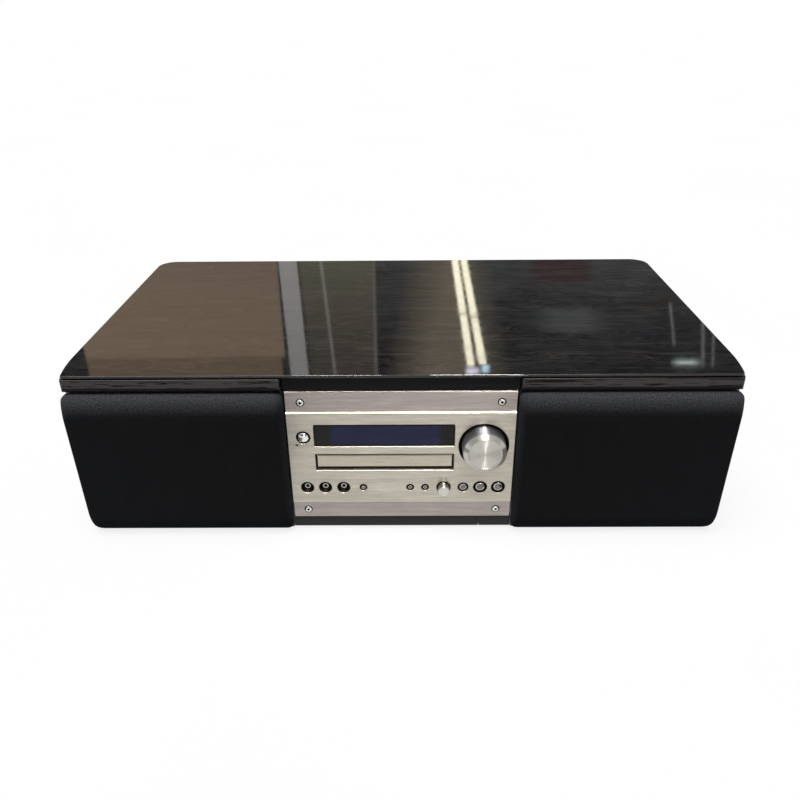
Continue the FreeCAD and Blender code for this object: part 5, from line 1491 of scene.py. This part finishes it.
@dataclass(frozen=True)
class Card(Finish):
    """A card that only reflections see, upright across the room, with strips of light and shade on it."""

    name: str
    depth: float
    reach: Pair
    heights: Pair
    sight: Pair
    low_colour: Colour
    high_colour: Colour
    strips: tuple[Strip, ...] = ()

    def make(self) -> Material:
        """Builds the card's light, strip over strip."""
        r = Recipe(self.name)
        here = r.place()
        x, z = r.part(here, Axis.X), r.part(here, Axis.Z)
        share = r.remap(z, *self.sight)
        glow = r.mix(share, self.low_colour, self.high_colour)
        cloud = r.noise((0.30, 1.0, 0.12), 3.0, 0.6, 0.8)
        glow = r.mix(r.remap(cloud, 0.35, 0.75, 0.0, 0.6), glow, BLACK)
        for strip in self.strips:
            sides = (r.calc("SUBTRACT", x, r.remap(z, *self.sight, *pair)) for pair in zip(strip.low, strip.high))
            across = r.times(*(r.edge(side, 0.0, strip.soft, falls) for side, falls in zip(sides, (False, True))))
            area = r.times(across, r.band(z, *strip.levels, 0.006))
            glow = r.mix(area, glow, r.mix(share, strip.low_colour, strip.high_colour))
        return r.finish(Base_Color=BLACK, Emission_Color=glow, Emission_Strength=1.0, Specular_IOR_Level=0.0,
                        Roughness=1.0)


@dataclass(frozen=True)
class Lamp:
    """A level panel of light or shade, long along Y, which only reflections see."""

    name: str
    x: float
    z: float
    ends: Pair
    width: float
    glow: float


@dataclass
class Studio:
    """A pale floor, a white surround, soft light from above and the cards that lacquer and metal reflect."""

    cards: tuple[Card, ...]
    lamps: tuple[Lamp, ...]
    floor_half: float = 30.0
    floor_glow: float = 0.82
    ambient: float = 0.09
    sky: float = 2.9
    sky_spread_deg: float = 50.0
    sky_turn_deg: Pair = (13.0, -6.0)

    def world(self) -> None:
        """White to the camera, to reflections and through glass, softer as light."""
        world = bpy.data.worlds.new("studio")
        bpy.context.scene.world = world
        world.use_nodes = True
        tree = world.node_tree
        path = tree.nodes.new("ShaderNodeLightPath")
        seen = path.outputs["Is Camera Ray"]
        for ray in ("Is Glossy Ray", "Is Transmission Ray"):
            either = tree.nodes.new("ShaderNodeMath")
            either.operation = "MAXIMUM"
            tree.links.new(seen, either.inputs[0])
            tree.links.new(path.outputs[ray], either.inputs[1])
            seen = either.outputs[0]
        level = tree.nodes.new("ShaderNodeMapRange")
        level.inputs["To Min"].default_value = self.ambient
        tree.links.new(seen, level.inputs["Value"])
        ground = tree.nodes["Background"]
        ground.inputs["Color"].default_value = (1.0, 1.0, 1.0, 1.0)
        tree.links.new(level.outputs["Result"], ground.inputs["Strength"])

    def floor(self) -> None:
        """A floor that looks pale and keeps the object's shadow, and throws little light back up."""
        r = Recipe("floor_pale")
        colour = r.mix(r.noise(0.4), (0.17, 0.17, 0.17), (0.19, 0.19, 0.19))
        path = r.node("LightPath")
        seen = r.calc("MAXIMUM", path.outputs["Is Camera Ray"], path.outputs["Is Glossy Ray"])
        look = r.finish(Emission_Color=(1.0, 1.0, 1.0), Emission_Strength=r.times(seen, self.floor_glow),
                        Base_Color=colour, Roughness=1.0, Specular_IOR_Level=0.0)
        self.plane("floor", Matrix.Scale(2 * self.floor_half, 4), look)

    def plane(self, name: str, place: Matrix, look: Material) -> Object:
        """Makes a square of one metre, moved and stretched to its place.

        Args:
            name: Its name.
            place: Its place and size.
            look: Its material.

        Returns:
            The plane.
        """
        shape = Shape()
        bmesh.ops.create_grid(shape.bm, x_segments=1, y_segments=1, size=0.5, matrix=place)
        made = shape.piece(name)
        made.data.materials.append(look)
        return made

    def hang(self, card: Card) -> None:
        """Hangs one card.

        Args:
            card: The card.
        """
        wide, tall = (end - start for start, end in (card.reach, card.heights))
        place = (Matrix.Translation((sum(card.reach) / 2, card.depth, sum(card.heights) / 2))
                 @ Matrix.Rotation(math.radians(90), 4, "X") @ Matrix.Diagonal((wide, tall, 1.0, 1.0)))
        self.hide(self.plane(card.name, place, card.make()))

    def string(self, lamp: Lamp) -> None:
        """Strings up one level panel.

        Args:
            lamp: The panel.
        """
        start, end = lamp.ends
        place = (Matrix.Translation((lamp.x, (start + end) / 2, lamp.z))
                 @ Matrix.Diagonal((lamp.width, end - start, 1.0, 1.0)))
        look = Recipe(lamp.name).finish(Emission_Color=(1.0, 0.97, 0.88), Base_Color=BLACK,
                                         Emission_Strength=lamp.glow)
        self.hide(self.plane(lamp.name, place, look))

    def hide(self, piece: Object) -> None:
        """Hides a card or panel from all but reflections.

        Args:
            piece: The card or panel.
        """
        for ray in ("camera", "diffuse", "shadow", "transmission"):
            setattr(piece, "visible_" + ray, False)

    def sun(self) -> None:
        """Even light from above and a little ahead, with a soft shadow."""
        sun = bpy.data.objects.new("skylight", bpy.data.lights.new("skylight", "SUN"))
        sun.data.energy = self.sky
        sun.data.angle = math.radians(self.sky_spread_deg)
        sun.rotation_euler = (*(math.radians(turn) for turn in self.sky_turn_deg), 0.0)
        bpy.context.scene.collection.objects.link(sun)

    def build(self) -> None:
        """Builds the studio."""
        self.world()
        self.floor()
        for card in self.cards:
            self.hang(card)
        for lamp in self.lamps:
            self.string(lamp)
        self.sun()
        bpy.context.scene.view_settings.view_transform = "Standard"


BROWN_LOW, BROWN_HIGH = (0.52, 0.39, 0.29), (0.96, 0.71, 0.50)
TUBE_LOW, TUBE_HIGH = (4.8, 4.5, 3.4), (7.6, 7.2, 5.5)
WALL = Card("wall_card", 2.6, (-3.6, 3.6), (0.30, 3.4), (0.94, 1.51), (0.162, 0.182, 0.190), (0.050, 0.078, 0.104), (
    Strip((-1.60, -0.604), (-1.60, -0.604), 0.004, BROWN_LOW, BROWN_HIGH, (0.0, 1.425)),
    Strip((-1.60, -0.620), (-1.60, -0.622), 0.004, BROWN_LOW, (0.62, 0.45, 0.32), (1.425, 9.0)),
    Strip((-0.595, -0.510), (-0.582, -0.493), 0.003, (0.93, 0.92, 0.90), (1.30, 1.22, 1.24)),
    Strip((-0.50, -0.15), (-0.48, -0.15), 0.012, (0.31, 0.31, 0.225), (0.235, 0.215, 0.195)),
    Strip((-0.404, -0.390), (-0.367, -0.352), 0.004, (0.62, 0.62, 0.56), (0.75, 0.75, 0.72)),
    Strip((-0.159, -0.145), (-0.161, -0.146), 0.005, (0.36, 0.36, 0.33), (0.55, 0.55, 0.54)),
    Strip((0.10, 0.29), (0.00, 0.42), 0.11, (0.46, 0.40, 0.30), (0.66, 0.58, 0.45)),
    Strip((0.213, 0.243), (0.310, 0.346), 0.006, TUBE_LOW, TUBE_HIGH, (0.0, 1.475)),
    Strip((0.255, 0.284), (0.371, 0.408), 0.006, TUBE_LOW, TUBE_HIGH, (0.0, 1.465)),
    Strip((0.255, 0.294), (0.255, 0.294), 0.004, (1.8, 1.6, 1.1), (1.8, 1.6, 1.1), (1.192, 1.203)),
    Strip((0.305, 0.346), (0.305, 0.346), 0.004, (1.8, 1.6, 1.1), (1.8, 1.6, 1.1), (1.206, 1.217)),
    Strip((0.300, 0.362), (0.300, 0.362), 0.012, (4.6, 4.4, 5.4), (5.4, 5.1, 6.2), (1.488, 1.520)),
    Strip((0.378, 0.412), (0.378, 0.412), 0.010, (3.2, 4.8, 5.6), (3.6, 5.4, 6.4), (1.472, 1.510)),
    Strip((0.584, 0.848), (0.720, 0.984), 0.034, (0.138, 0.088, 0.106), (0.138, 0.088, 0.106), (0.0, 1.046)),
    Strip((0.60, 0.86), (0.72, 0.98), 0.060, (0.23, 0.255, 0.27), (0.26, 0.285, 0.30), (1.173, 1.295)),
    Strip((1.20, 1.212), (1.345, 1.357), 0.005, (0.55, 0.57, 0.60), (0.55, 0.57, 0.60), (1.15, 1.37)),
    Strip((1.20, 1.31), (1.345, 1.46), 0.025, (2.4, 2.8, 2.7), (2.4, 2.8, 2.7), (1.450, 1.475)),
    Strip((1.37, 1.384), (1.475, 1.489), 0.006, (0.50, 0.51, 0.53), (0.65, 0.66, 0.68), (1.15, 1.485)),
    Strip((1.43, 1.440), (1.525, 1.535), 0.005, (0.50, 0.51, 0.53), (0.65, 0.66, 0.68), (1.28, 1.485)),
))
ROOM = Card("room_card", -3.0, (-5.0, 5.0), (0.10, 2.2), (0.10, 2.2), (0.40, 0.39, 0.38), (0.22, 0.22, 0.22))
SLIT = Card("slit_card", -2.9, (0.505, 0.550), (0.02, 2.2), (0.02, 2.2), (60.0, 58.0, 54.0), (60.0, 58.0, 54.0))
LAMPS = (
    Lamp("ceiling_left", -0.28, 2.50, (-0.90, -0.18), 0.36, 55.0),
    Lamp("ceiling_right", 0.28, 2.50, (-0.90, -0.18), 0.36, 150.0),
    Lamp("panel_flag", 0.0, 0.215, (-0.26, -0.175), 0.22, 0.55),
    Lamp("floor_shade_left", -0.315, 0.0008, (-0.43, -0.176), 0.37, 0.04),
    Lamp("floor_shade_right", 0.315, 0.0008, (-0.43, -0.176), 0.37, 0.04),
)


def main() -> None:
    """Builds the scene in order and logs each piece."""
    logging.basicConfig(level=logging.INFO, format="%(message)s")
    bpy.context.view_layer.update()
    Camera().build()
    Studio(cards=(WALL, ROOM, SLIT), lamps=LAMPS).build()
    parts = [Board(), Speaker(side=-1), Speaker(side=1), Drivers(), Panel(), Controls(), Drive(), Case(),
             Electronics()]
    for part in parts:
        part.build()
        part.report()


if __name__ == "__main__":
    main()
